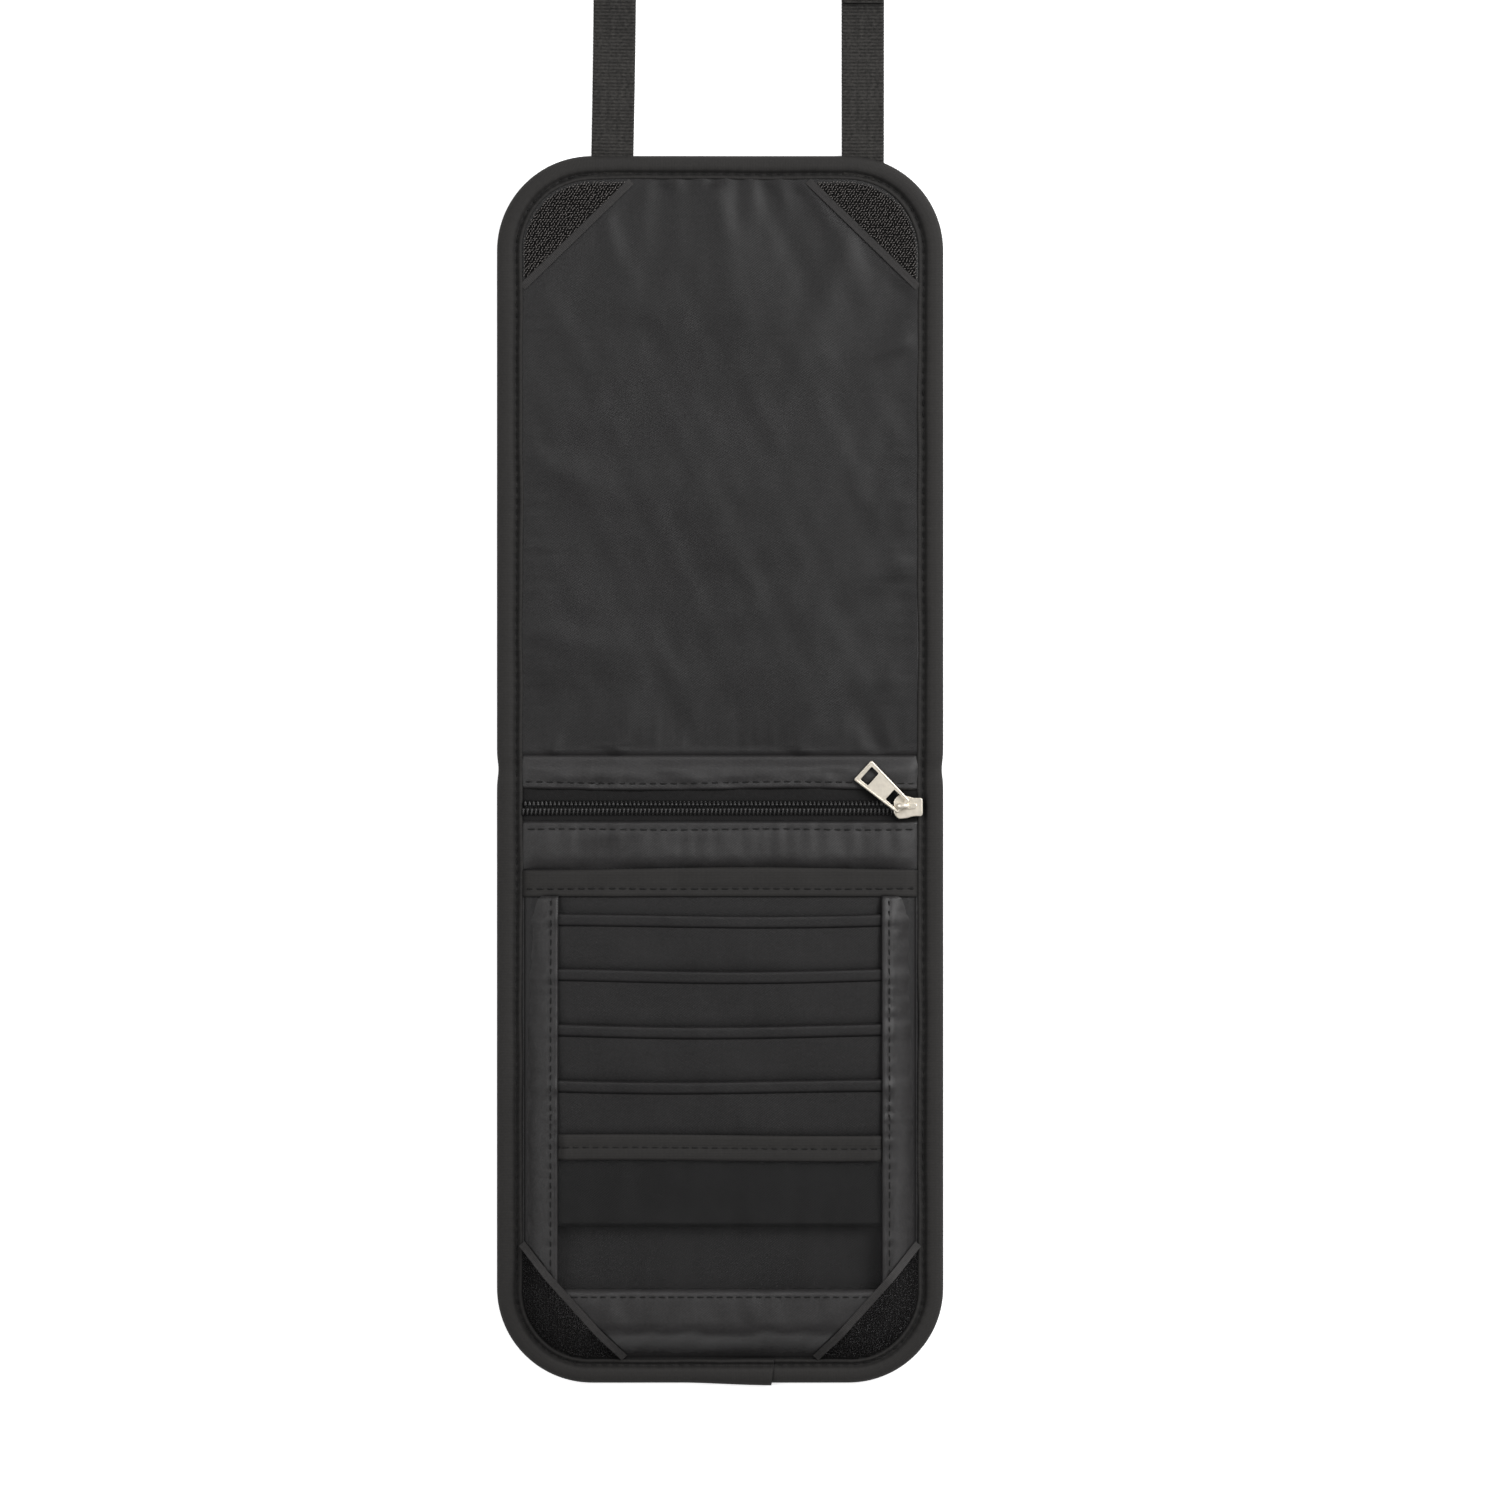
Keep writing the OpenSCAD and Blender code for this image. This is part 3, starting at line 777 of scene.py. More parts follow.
def make_shell():
    """The outer fabric, one sheet from end to end, lying on the ground and rising into the binding."""
    x, y = outline_grid(-HALF_L + 1.2, HALF_L - 1.2, 1.2, 1.2, 2.0)
    rise = 1 - ramp((inset(x, y) - 4) / 8)
    slack = 0.24 * (1 + ripple(x, y, 24, 3))
    slack = slack + 0.14 * gathers(beside_edge(x, y), past_binding(x, y), 6.0, 4)
    z = 0.42 + 0.45 * rise + slack * (1 - rise)
    piece = sheet("outer_shell", x, y, z, SHELL, 0.3)
    over_fold(piece, "outer_fabric", "lower_shell", "upper_shell")


LINING_Z = 1.85                              # height of the flap's lining
LINING_UP, LINING_DOWN = 0.85, 0.55          # how far its folds stand up and sink
LINING_CREASES = [
    # start, end, width and height of each soft fold in the flap's lining
    ((-2, 167), (8, 118), 4.0, 0.9), ((12, 167), (30, 125), 3.5, -0.8),
    ((26, 167), (46, 128), 3.0, 0.9), ((-16, 167), (-20, 132), 4.0, -0.6),
    ((-34, 160), (-22, 120), 4.0, 0.6), ((40, 158), (18, 104), 5.0, 0.9),
    ((55, 140), (26, 100), 5.0, -0.8), ((55, 122), (20, 112), 4.0, 0.6), ((-55, 90), (-15, 70), 5.0, 0.5),
    ((-55, 40), (-10, 28), 5.0, 0.5), ((55, 60), (10, 40), 6.0, 0.5), ((-30, 4), (-24, 30), 4.0, 0.7),
    ((22, 4), (30, 34), 5.0, 0.7), ((46, 4), (36, 26), 4.0, -0.6), ((-48, 4), (-44, 24), 3.0, 0.5),
]


def under_patches(x, y, kind, end):
    """1 where a corner fastener lies over its fabric, falling to 0 a little way off it."""
    cover = 0 * x
    for name, side in (("left", -1), ("right", 1)):
        corner, a, b = patch_corners(side, end, f"{kind}_patch_{name}")
        cover = np.maximum(cover, ramp(1 + beyond_slant(x, y, a, b, corner) / 4))
    return cover


def make_lining():
    """The flap's inside fabric, puckered where it is caught by the binding and the corner fasteners."""
    x, y = outline_grid(SEAM - 0.6, INNER_L + 1.0, *tucked(1.0), 1.3)
    free = ramp((past_binding(x, y) + 0.5) / 5) * ramp((y - SEAM + 0.5) / 8)
    relief = free * (0.32 * ripple(x, y, 45, 11) + 0.10 * ripple(x, y, 13, 12))
    for start, end, width, height in LINING_CREASES:
        relief = relief + height * crease(x, y, start, end, width) * ramp((past_binding(x, y) + 1) / 3)
    near_top = np.exp(-(INNER_L - y) / 10) * ramp((42 - np.abs(x)) / 12)
    relief = relief + 0.20 * near_top * np.sin(2 * math.pi * x / 8.5 + 1.6 * np.sin(x / 9))
    relief = relief + 0.30 * gathers(x, y - SEAM, 6.0, 13) * free
    relief = relief + 0.22 * gathers(y, INNER_W - np.abs(x), 4.0, 14) * free
    relief = relief * (1 - under_patches(x, y, "hook", 1))
    limit = np.where(relief > 0, LINING_UP, LINING_DOWN)
    z = LINING_Z + limit * np.tanh(relief / limit)
    z = z - 0.5 * bell(y - SEAM + 0.6, 1.2)
    piece = sheet("flap_lining", x, y, z, LINING, 0.25)

    def pinned(px, py):
        near_edge = np.maximum(1 - ramp(past_binding(px, py) / 3), 1 - ramp((py - SEAM) / 2.5))
        return np.maximum(near_edge, under_patches(px, py, "hook", 1))

    settle(piece, pinned, growth=0.004, limit=0.6, share=0.22)
    over_fold(piece, "lining_fabric", "upper_lining")


# Cross-section of the folded binding tape: distance in from the pouch's edge, and height.
BINDING_PROFILE = [
    (7.3, 0.25), (4.0, 0.04), (1.5, 0.05), (0.5, 0.3), (0.05, 0.85), (0.0, 1.3), (0.3, 1.85), (1.0, 2.32),
    (2.2, 2.62), (3.4, 2.66), (4.3, 2.50), (4.85, 2.15), (5.15, 1.60), (5.7, 1.32), (6.1, 1.65), (6.45, 2.1),
    (6.9, 2.22), (7.3, 2.0), (7.45, 1.65), (7.45, 1.2),
]
BINDING_STITCH = 5.65                        # the stitch row's distance from the pouch's edge
BINDING_STEP = 3.1                           # length of one stitch of the binding
BACK_STITCH_Z = 0.13                         # height of the same stitches on the pouch's back


def outline_path():
    """Points round the pouch's outline, starting at the middle of the bottom edge and going right."""
    w, h = HALF_W - CORNER, HALF_L - CORNER
    points = [(0, -HALF_L, 0)]
    for cx, cy, first in ((w, -h, -90), (w, h, 0), (-w, h, 90), (-w, -h, 180)):
        for a in np.radians(np.linspace(first, first + 90, 30)):
            points.append((cx + CORNER * math.cos(a), cy + CORNER * math.sin(a), 0))
    points.append(points[0])
    return resample(np.array(points), 0.75)[0][:-1]


def edge_frames(path):
    """The direction inwards from each point of the outline."""
    ahead = np.roll(path, -1, axis=0) - np.roll(path, 1, axis=0)
    ahead /= np.linalg.norm(ahead, axis=1)[:, None]
    return np.stack([-ahead[:, 1], ahead[:, 0], 0 * ahead[:, 0]], -1)


def binding_width(inward):
    """The tape shows a little narrower across the two ends than along the sides."""
    return 1 - (1 - BIND_END / BIND_SIDE) * np.abs(inward[:, 1])


def binding_points(path, inward):
    """The binding's profile at each point of the outline, with small uneven swells and puckers."""
    run = lengths_along(path)
    shape = np.array(BINDING_PROFILE)
    across = shape[None, :, 0] * binding_width(inward)[:, None]
    up = np.repeat(shape[None, :, 1], len(path), axis=0)
    inner_share = np.clip(shape[None, :, 0] / BIND_SIDE, 0, 1) * (up > 1)
    drawn_in = 0.20 * np.sin(run / 11.0) * np.sin(run / 37.0 + 1) + 0.08 * np.sin(run / 4.3)
    across = across + drawn_in[:, None] * inner_share
    top = (shape[:, 1] > 1.25)[None, :]
    beside_stitch = bell(shape[None, :, 0] - BINDING_STITCH, 1.5)
    pull = np.cos(2 * math.pi * run / BINDING_STEP) + 0.7 * np.sin(run / 1.9) * np.sin(run / 13.0)
    swell = 0.10 * np.sin(run / 8.0) * np.sin(run / 23.0)
    up = up + top * (0.11 * pull[:, None] * beside_stitch + swell[:, None])
    notch = bell(path[:, 1], 3.0)[:, None]
    up = up - 0.35 * notch * top
    across = across + 0.4 * notch * np.clip(1 - shape[None, :, 0] / 3, 0, 1)
    return path[:, None] + inward[:, None] * across[..., None] + np.array([0, 0, 1]) * up[..., None]


def make_binding():
    """The folded tape round the whole pouch, with one row of stitches seen on its front and its back."""
    path = outline_path()
    inward = edge_frames(path)
    points = binding_points(path, inward)
    across = np.array(BINDING_PROFILE)[:, 0]
    piece = tube("binding", points, across, lengths_along(path), TAPE, closed=True)
    line = (path + inward * (BINDING_STITCH * binding_width(inward))[:, None])[:, :2]
    line = np.vstack([line, line[:1]])
    places = stitch_places(line, surface_of(piece), -0.05, BINDING_STEP, random.Random(5), 1.6)
    over_fold(copies("binding_stitches", capsule(), places, THREAD), "binding_tape")
    behind = [((centre[0], centre[1], BACK_STITCH_Z), turn, size) for centre, turn, size in places]
    over_fold(copies("binding_back_stitches", capsule(), behind, THREAD), "binding_tape")
    over_fold(piece, "binding_tape", "lower_binding", "upper_binding")


LAP_START, LAP_END = -14.0, 15.2              # where the lapped end thickens, and its cut edge, along X


def make_binding_end():
    """The tape's end, lapped over its beginning at the bottom edge and cut off square."""
    whole = outline_path()
    points = binding_points(whole, edge_frames(whole))
    chosen = (whole[:, 0] > LAP_START) & (whole[:, 0] < LAP_END) & (whole[:, 1] < 0)
    points, path = points[chosen], whole[chosen]
    order = np.argsort(path[:, 0])
    points, path = points[order], path[order]
    shape = np.array(BINDING_PROFILE)
    grow = ramp((path[:, 0] - LAP_START) / (LAP_END - LAP_START))[:, None]
    is_top = shape[None, :, 1] > 0.8
    points[:, :, 1] -= np.where(shape[None, :, 0] < 2, 0.75 * grow - 0.05, 0.12 * grow)
    points[:, :, 2] += np.where(is_top, 0.45 * grow - 0.05, -0.02)
    points[:, :, 0] += 0.12 * (points[:, :, 1] + HALF_L - 3) * ramp((path[:, :1] - LAP_END + 5) / 5)
    piece = tube("binding_end", points, shape[:, 0], lengths_along(path), TAPE)
    on_body(piece, "card_side", "binding_tape")


# ---- Zip ----------------------------------------------------------------------

FACING_STITCH, FRONT_STITCH = -3.8, -17.1    # where the stitch rows above and below the zip run, along Y
SEAM_Z = 1.7                                 # height of the facing at the fold's seam
FACING_WANDER = (0.30, 13.0)                 # how far the facing's free edge wanders, and over what length


def make_facing():
    """The folded strip above the zip, sewn along the fold's seam and topstitched near its free edge."""
    low = edge("zip_facing", LOW, Y)
    top = edge("zip_facing", HIGH, Z)
    side = INNER_W + 0.8
    x, y = box_grid(-side, side, low, SEAM + 0.5, 0.8)
    share = ramp((SEAM + 0.3 - y) / 4.5)
    z = SEAM_Z + (top + 0.15 - SEAM_Z) * share
    z = z + share * (0.20 * ripple(x, y * 2.5, 15, 21) + 0.16 * gathers(x, y - FACING_STITCH, 2.5, 22))
    z = z - 0.30 * bell(y - FACING_STITCH, 0.6)
    z = caught(x, y, z - 0.30 * bell(y - low, 0.35))
    y = y + FACING_WANDER[0] * np.sin(x / FACING_WANDER[1]) * ramp((SEAM - y) / 6)
    piece = sheet("zip_facing_strip", x, y, z, POCKET, 0.4)
    stitches = stitches_across("facing_stitches", piece, side - 1.2, FACING_STITCH, FACING_WANDER,
                               pitch=2.8, seed=7, fallback=2.8)
    over_fold(stitches, "binding_tape")
    over_fold(piece, "pocket_fabric", "zip_facing")


TAPE_LOW, TAPE_HIGH = -18.0, -4.2            # where the tapes end, under the front and the facing


def make_zip_tapes():
    """The zip's two woven tapes, sewn in under the facing and the pocket's front."""
    side = INNER_W + 0.6
    for name, node, y0, y1, seed in (
        ("zip_tape_top", "zip_tape_upper", edge("zip_tape_upper", LOW, Y) - 0.3, TAPE_HIGH, 31),
        ("zip_tape_bottom", "zip_tape_lower", TAPE_LOW, edge("zip_tape_lower", HIGH, Y) + 0.3, 32),
    ):
        x, y = box_grid(-side, side, y0, y1, 0.7)
        z = edge(node, HIGH, Z) + 0.05 * ripple(x, y, 9, seed) - 0.35 * ramp((TAPE_LOW + 3.2 - y) / 1.5)
        piece = sheet(name, x, y, caught(x, y, z), ZIP_TAPE, 0.3)
        over_fold(piece, "zip_tape", node)


COIL_ROWS = {
    # each row of the zip: its CAD node, and where its meeting edge and its outer edge lie along Y
    "coil_top": ("zip_coil_upper", -10.35, -8.95),
    "coil_bottom": ("zip_coil_lower", -11.1, -13.1),
}
COIL_PITCH = 1.19                            # from one turn of the coil to the next
CORD_STEP = 0.6                              # length of a twist of the cord sewn along the coil


def make_coil(name, seed):
    """One row of the zip: a nylon coil's turns side by side, each with a bulge at its meeting edge."""
    node, inner_y, outer_y = COIL_ROWS[name]
    rng = random.Random(seed)
    z = middle_of(node, Z) + 0.25
    direction = 1 if outer_y > inner_y else -1
    width = abs(outer_y - inner_y)
    reach = INNER_W + 0.4
    places = []
    for i in range(int(2 * reach / COIL_PITCH)):
        x = -reach + COIL_PITCH * (i + 0.5 + (0.5 if direction > 0 else 0))
        turn = math.pi / 2 + direction * 0.14 + rng.uniform(-0.03, 0.03)
        height = float(caught(x, inner_y, z, slope=5))
        places.append(((x, (inner_y + outer_y) / 2, height), turn, (width, 0.66, 0.95)))
        places.append(((x, inner_y + direction * 0.35, height + 0.03), turn, (0.8, 0.95, 0.9)))
    piece = copies(name, capsule(8, 5), places, COIL)
    on_body(piece, "card_side", "zip_coil", node)
    cord_y = inner_y + direction * width * 0.66
    cord = []
    for x in np.arange(-reach, reach - CORD_STEP, CORD_STEP):
        height = float(caught(x, cord_y, z)) + 0.42
        cord.append(((x + CORD_STEP / 2, cord_y, height), 0.5, (0.75, 0.3, 0.22)))
    on_body(copies(name + "_cord", capsule(5, 3), cord, ZIP_TAPE), "card_side", "zip_tape")


FRONT_COVERED = -36.0                        # from here down the card panel covers the pocket's front


def make_front():
    """The zip pocket's front: a soft panel with its top edge folded and topstitched to the zip."""
    top = edge("pocket_front", HIGH, Z)
    high = edge("pocket_front", HIGH, Y) + 0.1
    x, y = outline_grid(-INNER_L - 0.5, high, *tucked(0.8), 1.1)
    shown = ramp((y - FRONT_COVERED) / 6)
    belly = shown * ramp((-y - 17.5) / 4)
    z = top + 0.10 * shown
    z = z + belly * 0.30 * ripple(x, y * 1.2, 20, 41)
    z = z + 0.24 * shown * gathers(x, y - FRONT_STITCH, 5.0, 42)
    z = z - 0.32 * bell(y - FRONT_STITCH, 0.6) - 0.35 * bell(y - high, 0.35)
    z = caught(x, y, z - 0.85 * shown * ramp((-y - 24.5) / 4.5))
    piece = sheet("zip_pocket_front", x, y, z, POCKET, 0.35)

    def pinned(px, py):
        edges = 1 - ramp(past_binding(px, py) / 2.5)
        return np.maximum(np.maximum(edges, ramp((py + 18.5) / 1.5)), 1 - ramp((py + 40) / 6))

    settle(piece, pinned, growth=0.008, limit=0.5, share=0.5)
    stitches = stitches_across("front_stitches", piece, INNER_W - 1, FRONT_STITCH, (0.15, 9),
                               pitch=2.8, seed=8, fallback=2.7)
    on_body(stitches, "card_side", "binding_tape")
    on_body(piece, "card_side", "pocket_fabric", "pocket_front")


# ---- Card panel, slots, window and frame --------------------------------------

HEM_STITCH = 2.4                             # the hem's stitch row, above its lower edge


def make_panel():
    """The panel behind the slots, with the folded hem across its open top edge."""
    top = edge("card_panel", HIGH, Z)
    high = edge("hem_band", HIGH, Y)
    low = edge("hem_band", LOW, Y)
    x, y = outline_grid(-INNER_L - 0.5, high, *tucked(0.6), 2.0)
    piece = sheet("card_back_panel", x, y, caught(x, y, top + 0 * x), LINING, 0.25)
    on_body(piece, "card_side", "lining_fabric", "card_panel")
    side = INNER_W + 0.5
    x, y = box_grid(-side, side, low, high, 0.7)
    z = edge("hem_band", HIGH, Z) + 0.10 + 0.14 * ripple(x, y * 2, 13, 51)
    z = z + 0.12 * gathers(x, y - low - HEM_STITCH, 3.0, 52)
    z = z - 0.28 * bell(y - low - HEM_STITCH, 0.6)
    z = z - 0.25 * (bell(y - low, 0.4) + bell(high - y, 0.4))
    wander = 0.45 * np.sin(x / 21.0 + 1.2)
    hem = sheet("panel_hem", x, y + wander * ramp((y - low) / 8), caught(x, y, z, 2.4), TAPE, 0.45)
    on_body(hem, "card_side", "binding_tape", "hem_band")
    stitches = stitches_across("hem_stitches", hem, side - 1.2, low + HEM_STITCH, (0.1, 7),
                               pitch=2.8, seed=9, fallback=4.0)
    on_body(stitches, "card_side", "binding_tape")


POCKET_HALF = SLOT_HALF + 1.6                # half the width of the slots and window, under the surround
SLOT_HEM = 3.6                               # width of the folded hem at a slot's mouth


def arch(x, half):
    """1 in the middle, falling to 0 at half the width on either side."""
    return np.cos(np.clip(x / half, -1, 1) * math.pi / 2)


def slot_height(x, y, level, seed):
    """A slot's front between its stitched sides: slightly slack, with soft waves."""
    waves = 0.12 * ripple(x, y, 26, seed) + 0.05 * ripple(x, y * 0.4, 7, seed + 20)
    return level + arch(x, SLOT_HALF) * waves


def make_slot(number):
    """One card slot's front, with a folded hem along its mouth."""
    node = SLOTS[number]
    mouth = edge(node, HIGH, Y)
    level = edge(node, HIGH, Z)

    def dip(x):
        """How far the mouth sags and wanders between its sewn sides."""
        return 0.55 * arch(x, POCKET_HALF) + 0.2 * np.sin(x / 17 + number)

    x, y = box_grid(-POCKET_HALF, POCKET_HALF, edge(node, LOW, Y) + 1.0, mouth, 1.4)
    z = slot_height(x, y, level - 0.08, 60 + number) - 0.25 * ramp((mouth - 14 - y) / 4)
    y_low = y - dip(x) * ramp((y - mouth + 12) / 12)
    piece = sheet(f"slot_{number + 1}_front", x, y_low, z, LINING, 0.18)
    on_body(piece, "card_side", "lining_fabric", node)
    x, y = box_grid(-POCKET_HALF, POCKET_HALF, mouth - SLOT_HEM, mouth, 0.6)
    z = slot_height(x, y, level + 0.16, 60 + number)
    z = z - 0.14 * bell(y - mouth + SLOT_HEM, 0.35) - 0.16 * bell(y - mouth, 0.35)
    hem = sheet(f"slot_{number + 1}_hem", x, y - dip(x), z, LINING, 0.26)
    on_body(hem, "card_side", "lining_fabric")


def make_window():
    """The window pocket: clear film under a stitched fabric band."""
    level = edge("window_film", HIGH, Z)
    mouth = edge("window_band", HIGH, Y)
    low = edge("window_band", LOW, Y)
    x, y = box_grid(-POCKET_HALF, POCKET_HALF, WINDOW_END - 0.8, mouth - 2, 1.6)
    slack = arch(x, POCKET_HALF) ** 0.5 * ramp((y - WINDOW_END) / 5)
    z = level - 0.5 + slack * (0.45 + 0.25 * ripple(x, y, 30, 71))
    film = sheet("window_clear_film", x, y, z, FILM, 0.12)
    on_body(film, "card_side", "clear_film", "window_film")
    x, y = box_grid(-POCKET_HALF, POCKET_HALF, low, mouth, 0.7)
    middle = (low + mouth) / 2
    z = edge("window_band", HIGH, Z) + 0.14 + 0.06 * ripple(x, y * 2, 15, 72)
    z = z + 0.07 * gathers(x, y - middle, 3.0, 73)
    z = z - 0.2 * bell(y - low, 0.4) - 0.22 * bell(y - mouth, 0.4)
    z = z - 0.2 * bell(y - middle, 0.5)
    z = z - 0.8 * ramp((np.abs(x) - SLOT_HALF + 2) / 2)
    band = sheet("window_top_band", x, y - 0.25 * np.sin(x / 19), z, TAPE, 0.45)
    on_body(band, "card_side", "binding_tape", "window_band")
    stitches = stitches_across("window_band_stitches", band, POCKET_HALF - 2.4, middle, (-0.25, 19),
                               pitch=2.7, seed=10, fallback=9.5)
    on_body(stitches, "card_side", "binding_tape")


def surround_top(y):
    """How high the surround lies beside the slots: it climbs with the stack, from hem to window."""
    stations = [edge("hem_band", LOW, Y)]
    stations += [edge(node, HIGH, Y) for node in [*SLOTS, "window_band"]]
    heights = [edge("hem_band", HIGH, Z) + 0.6]
    heights += [edge(node, HIGH, Z) + 0.75 for node in SLOTS] + [FRAME_TOP]
    return np.interp(-y, [-v for v in stations], heights)


FRAME_LOW = 1.55                             # height of the surround where the binding grips it
FRAME_STITCH = 2.2                           # its stitch row's distance from the slots' edge


def hill_height(x, y):
    """Height of the side strips and bottom panel: low at the binding, high beside the cards."""
    climb = ramp((past_binding(x, y) + 1.2) / 11.0)
    return FRAME_LOW + (surround_top(y) - FRAME_LOW) * climb


def frame_grid(opening):
    """Rows of points over the side strips and bottom panel, and which quads between them to keep."""
    ys = outline_rows(-INNER_L - 0.4, FRAME_END + 0.4, *tucked(0.7), 1.0)
    ys = np.unique(np.append(ys[np.abs(ys - opening) > 0.4], opening))
    beside_slots = ys >= opening - 1e-6
    half = half_width(ys, *tucked(0.7))
    inner = np.where(beside_slots, SLOT_HALF + 0.05, np.minimum(SLOT_HALF, half * 0.8))
    strip_columns = 24
    left = -half[:, None] + (half - inner)[:, None] * np.linspace(0, 1, strip_columns)
    middle = inner[:, None] * np.linspace(-1, 1, 62)[1:-1]
    x = np.hstack([left, middle, -left[:, ::-1]])
    keep = np.ones((len(ys) - 1, x.shape[1] - 1), bool)
    keep[beside_slots[:-1], strip_columns - 1:-(strip_columns - 1)] = False
    return x, np.repeat(ys[:, None], x.shape[1], axis=1), keep


def make_frame():
    """Side strips and bottom panel in one piece, with a folded, topstitched edge round the slots."""
    opening = WINDOW_END + 0.3
    x, y, keep = frame_grid(opening)
    deep = ramp(past_binding(x, y) / 6)
    z = hill_height(x, y) + deep * (0.16 * ripple(x, y, 20, 81) + 0.08 * ripple(x, y, 8, 82))
    from_side_row = np.abs(x) - SLOT_HALF - FRAME_STITCH
    from_end_row = y - opening + FRAME_STITCH
    z = z + 0.20 * gathers(y, from_side_row, 3.5, 83) * (y > opening)
    z = z + 0.14 * gathers(x, from_end_row, 6.0, 84) * (np.abs(x) < SLOT_HALF) * deep
    z = z + 0.24 * deep * gathers(beside_edge(x, y), past_binding(x, y), 3.5, 85)
    for node in SLOTS:
        past_mouth = (edge(node, HIGH, Y) - 2.0 - y) / 1.7
        z = z + 0.30 * np.exp(-past_mouth ** 4) * ramp((56 - np.abs(x)) / 5) * (y > opening)
    under = under_patches(x, y, "loop", -1)
    z = hill_height(x, y) * under + z * (1 - under)
    on_row = np.maximum(bell(from_side_row, 0.5) * (y >= opening - FRAME_STITCH - 0.2),
                        bell(from_end_row, 0.5) * (from_side_row <= 0))
    z = z - 0.28 * on_row
    rim = np.maximum(np.abs(x) - SLOT_HALF, opening - y)
    z = z - 0.3 * bell(np.maximum(rim, 0), 0.4)
    piece = sheet("slot_surround", x, y, z, POCKET, 0.4, keep)

    def pinned(px, py):
        outer = 1 - ramp(past_binding(px, py) / 2)
        round_slots = np.maximum(np.abs(px) - SLOT_HALF, opening - py)
        sewn = 1 - ramp((round_slots - 2.4) / 1.5)
        return np.maximum(np.maximum(outer, sewn), under_patches(px, py, "loop", -1))

    settle(piece, pinned, growth=0.010, limit=0.5, share=0.45)
    on_body(piece, "card_side", "pocket_fabric", "card_frame")
    side = SLOT_HALF + FRAME_STITCH
    row_end, row_low = FRAME_END - 0.4, opening - FRAME_STITCH
    line = [(-side, row_end), (-side, row_low), (side, row_low), (side, row_end)]
    stitches = stitch_row("surround_stitches", line, piece, pitch=2.7, seed=11, fallback=FRAME_TOP)
    on_body(stitches, "card_side", "binding_tape")


# ---- Corner fasteners ---------------------------------------------------------

def patch_corners(side, end, node):
    """The fastener triangle's corner and the two ends of its slanting edge, from the CAD node's box."""
    outer = (side * INNER_W, end * INNER_L)
    inner_x = edge(node, LOW if side > 0 else HIGH, X)
    inner_y = edge(node, LOW if end > 0 else HIGH, Y)
    return outer, (inner_x, outer[1]), (outer[0], inner_y)


def beyond_slant(x, y, a, b, corner):
    """How far a point lies past the slanting edge, towards the pouch's corner."""
    d = np.array(b, float) - np.array(a, float)
    normal = np.array([-d[1], d[0]]) / np.linalg.norm(d)
    if (np.array(corner) - np.array(a)) @ normal < 0:
        normal = -normal
    return (x - a[0]) * normal[0] + (y - a[1]) * normal[1]


STRIP_W = 2.1                                # width of a fastener's woven edge
# Cross-section of that edge: distance in from the slant, and height above the ground fabric.
STRIP_PROFILE = [(0, -0.15), (0, 0.06), (0.15, 0.17), (0.38, 0.17), (0.5, 0.09), (1.5, 0.10), (1.65, 0.18),
                 (1.9, 0.18), (2.1, 0.02), (2.1, -0.15)]


def slant_strip(name, a, b, corner, place, body, material_slot):
    """The woven edge of a fastener triangle: a flat strip with two raised selvage threads."""
    a, b = np.array(a, float), np.array(b, float)
    ahead = (b - a) / np.linalg.norm(b - a)
    inwards = np.array([-ahead[1], ahead[0]])
    if (np.array(corner) - a) @ inwards < 0:
        a, b, ahead = b, a, -ahead
        inwards = np.array([-ahead[1], ahead[0]])
    run = np.arange(0, np.linalg.norm(b - a), 0.4)
    line = a + run[:, None] * ahead
    grip = np.minimum(past_binding(*line.T), past_binding(*(line + inwards * STRIP_W).T))
    line = line[grip > -1.1]
    height = place(line[:, 0], line[:, 1])
    path = np.column_stack([line, height])
    outwards = -same_way(path, (*inwards, 0.0))
    strip = sweep(name, path, outwards, [(-px, pz) for px, pz in STRIP_PROFILE], SELVAGE)
    strip.data.set_sharp_from_angle(angle=math.radians(35))
    on_body(strip, body, material_slot)


def make_patch(kind, side_name, side, end, shape, material, place):
    """A triangle of hook or loop fastener: ground, a woven edge along the slant, and hooks or loops."""
    name, node = f"{kind}_{side_name}", f"{kind}_patch_{side_name}"
    material_slot = f"{kind}_fastener"
    corner, a, b = patch_corners(side, end, node)
    body = "flap" if end > 0 else "card_side"
    rng = random.Random(node)
    x0, x1 = sorted((corner[0] + side * 0.8, a[0]))
    y0, y1 = sorted((corner[1] + end * 0.8, b[1]))
    x, y = box_grid(x0, x1, y0, y1, 0.7)
    inside = (beyond_slant(x, y, a, b, corner) > 0.3) & (past_binding(x, y) > -1.0)
    keep = inside[:-1, :-1] & inside[1:, 1:] & inside[1:, :-1] & inside[:-1, 1:]
    ground = sheet(name + "_ground", x, y, place(x, y), GROUND, 0.3, keep)
    on_body(ground, body, material_slot, node)
    slant_strip(name + "_woven_edge", a, b, corner, place, body, material_slot)
    places = []
    pitch_x, pitch_y = shape["pitch"]
    for row, py in enumerate(np.arange(y0, y1, pitch_y)):
        for px in np.arange(x0 + (row % 2) * pitch_x / 2, x1, pitch_x):
            qx = px + rng.uniform(-1, 1) * shape["jitter"]
            qy = py + rng.uniform(-1, 1) * shape["jitter"]
            if beyond_slant(qx, qy, a, b, corner) < STRIP_W or past_binding(qx, qy) < 0.15:
                continue
            z = float(place(np.array(qx), np.array(qy)))
            scale = rng.uniform(0.85, 1.15)
            turn = shape["turn"] + rng.uniform(-1, 1) * shape["spin"]
            places.append(((qx, qy, z), turn, (scale, scale, scale)))
    pile = copies(name + "_pile", shape["mesh"], places, material)
    on_body(pile, body, material_slot)


def flap_corner_height(x, y):
    """Where the hook patches' ground lies on the flap's lining."""
    return caught(x, y, 2.15 + 0 * x)


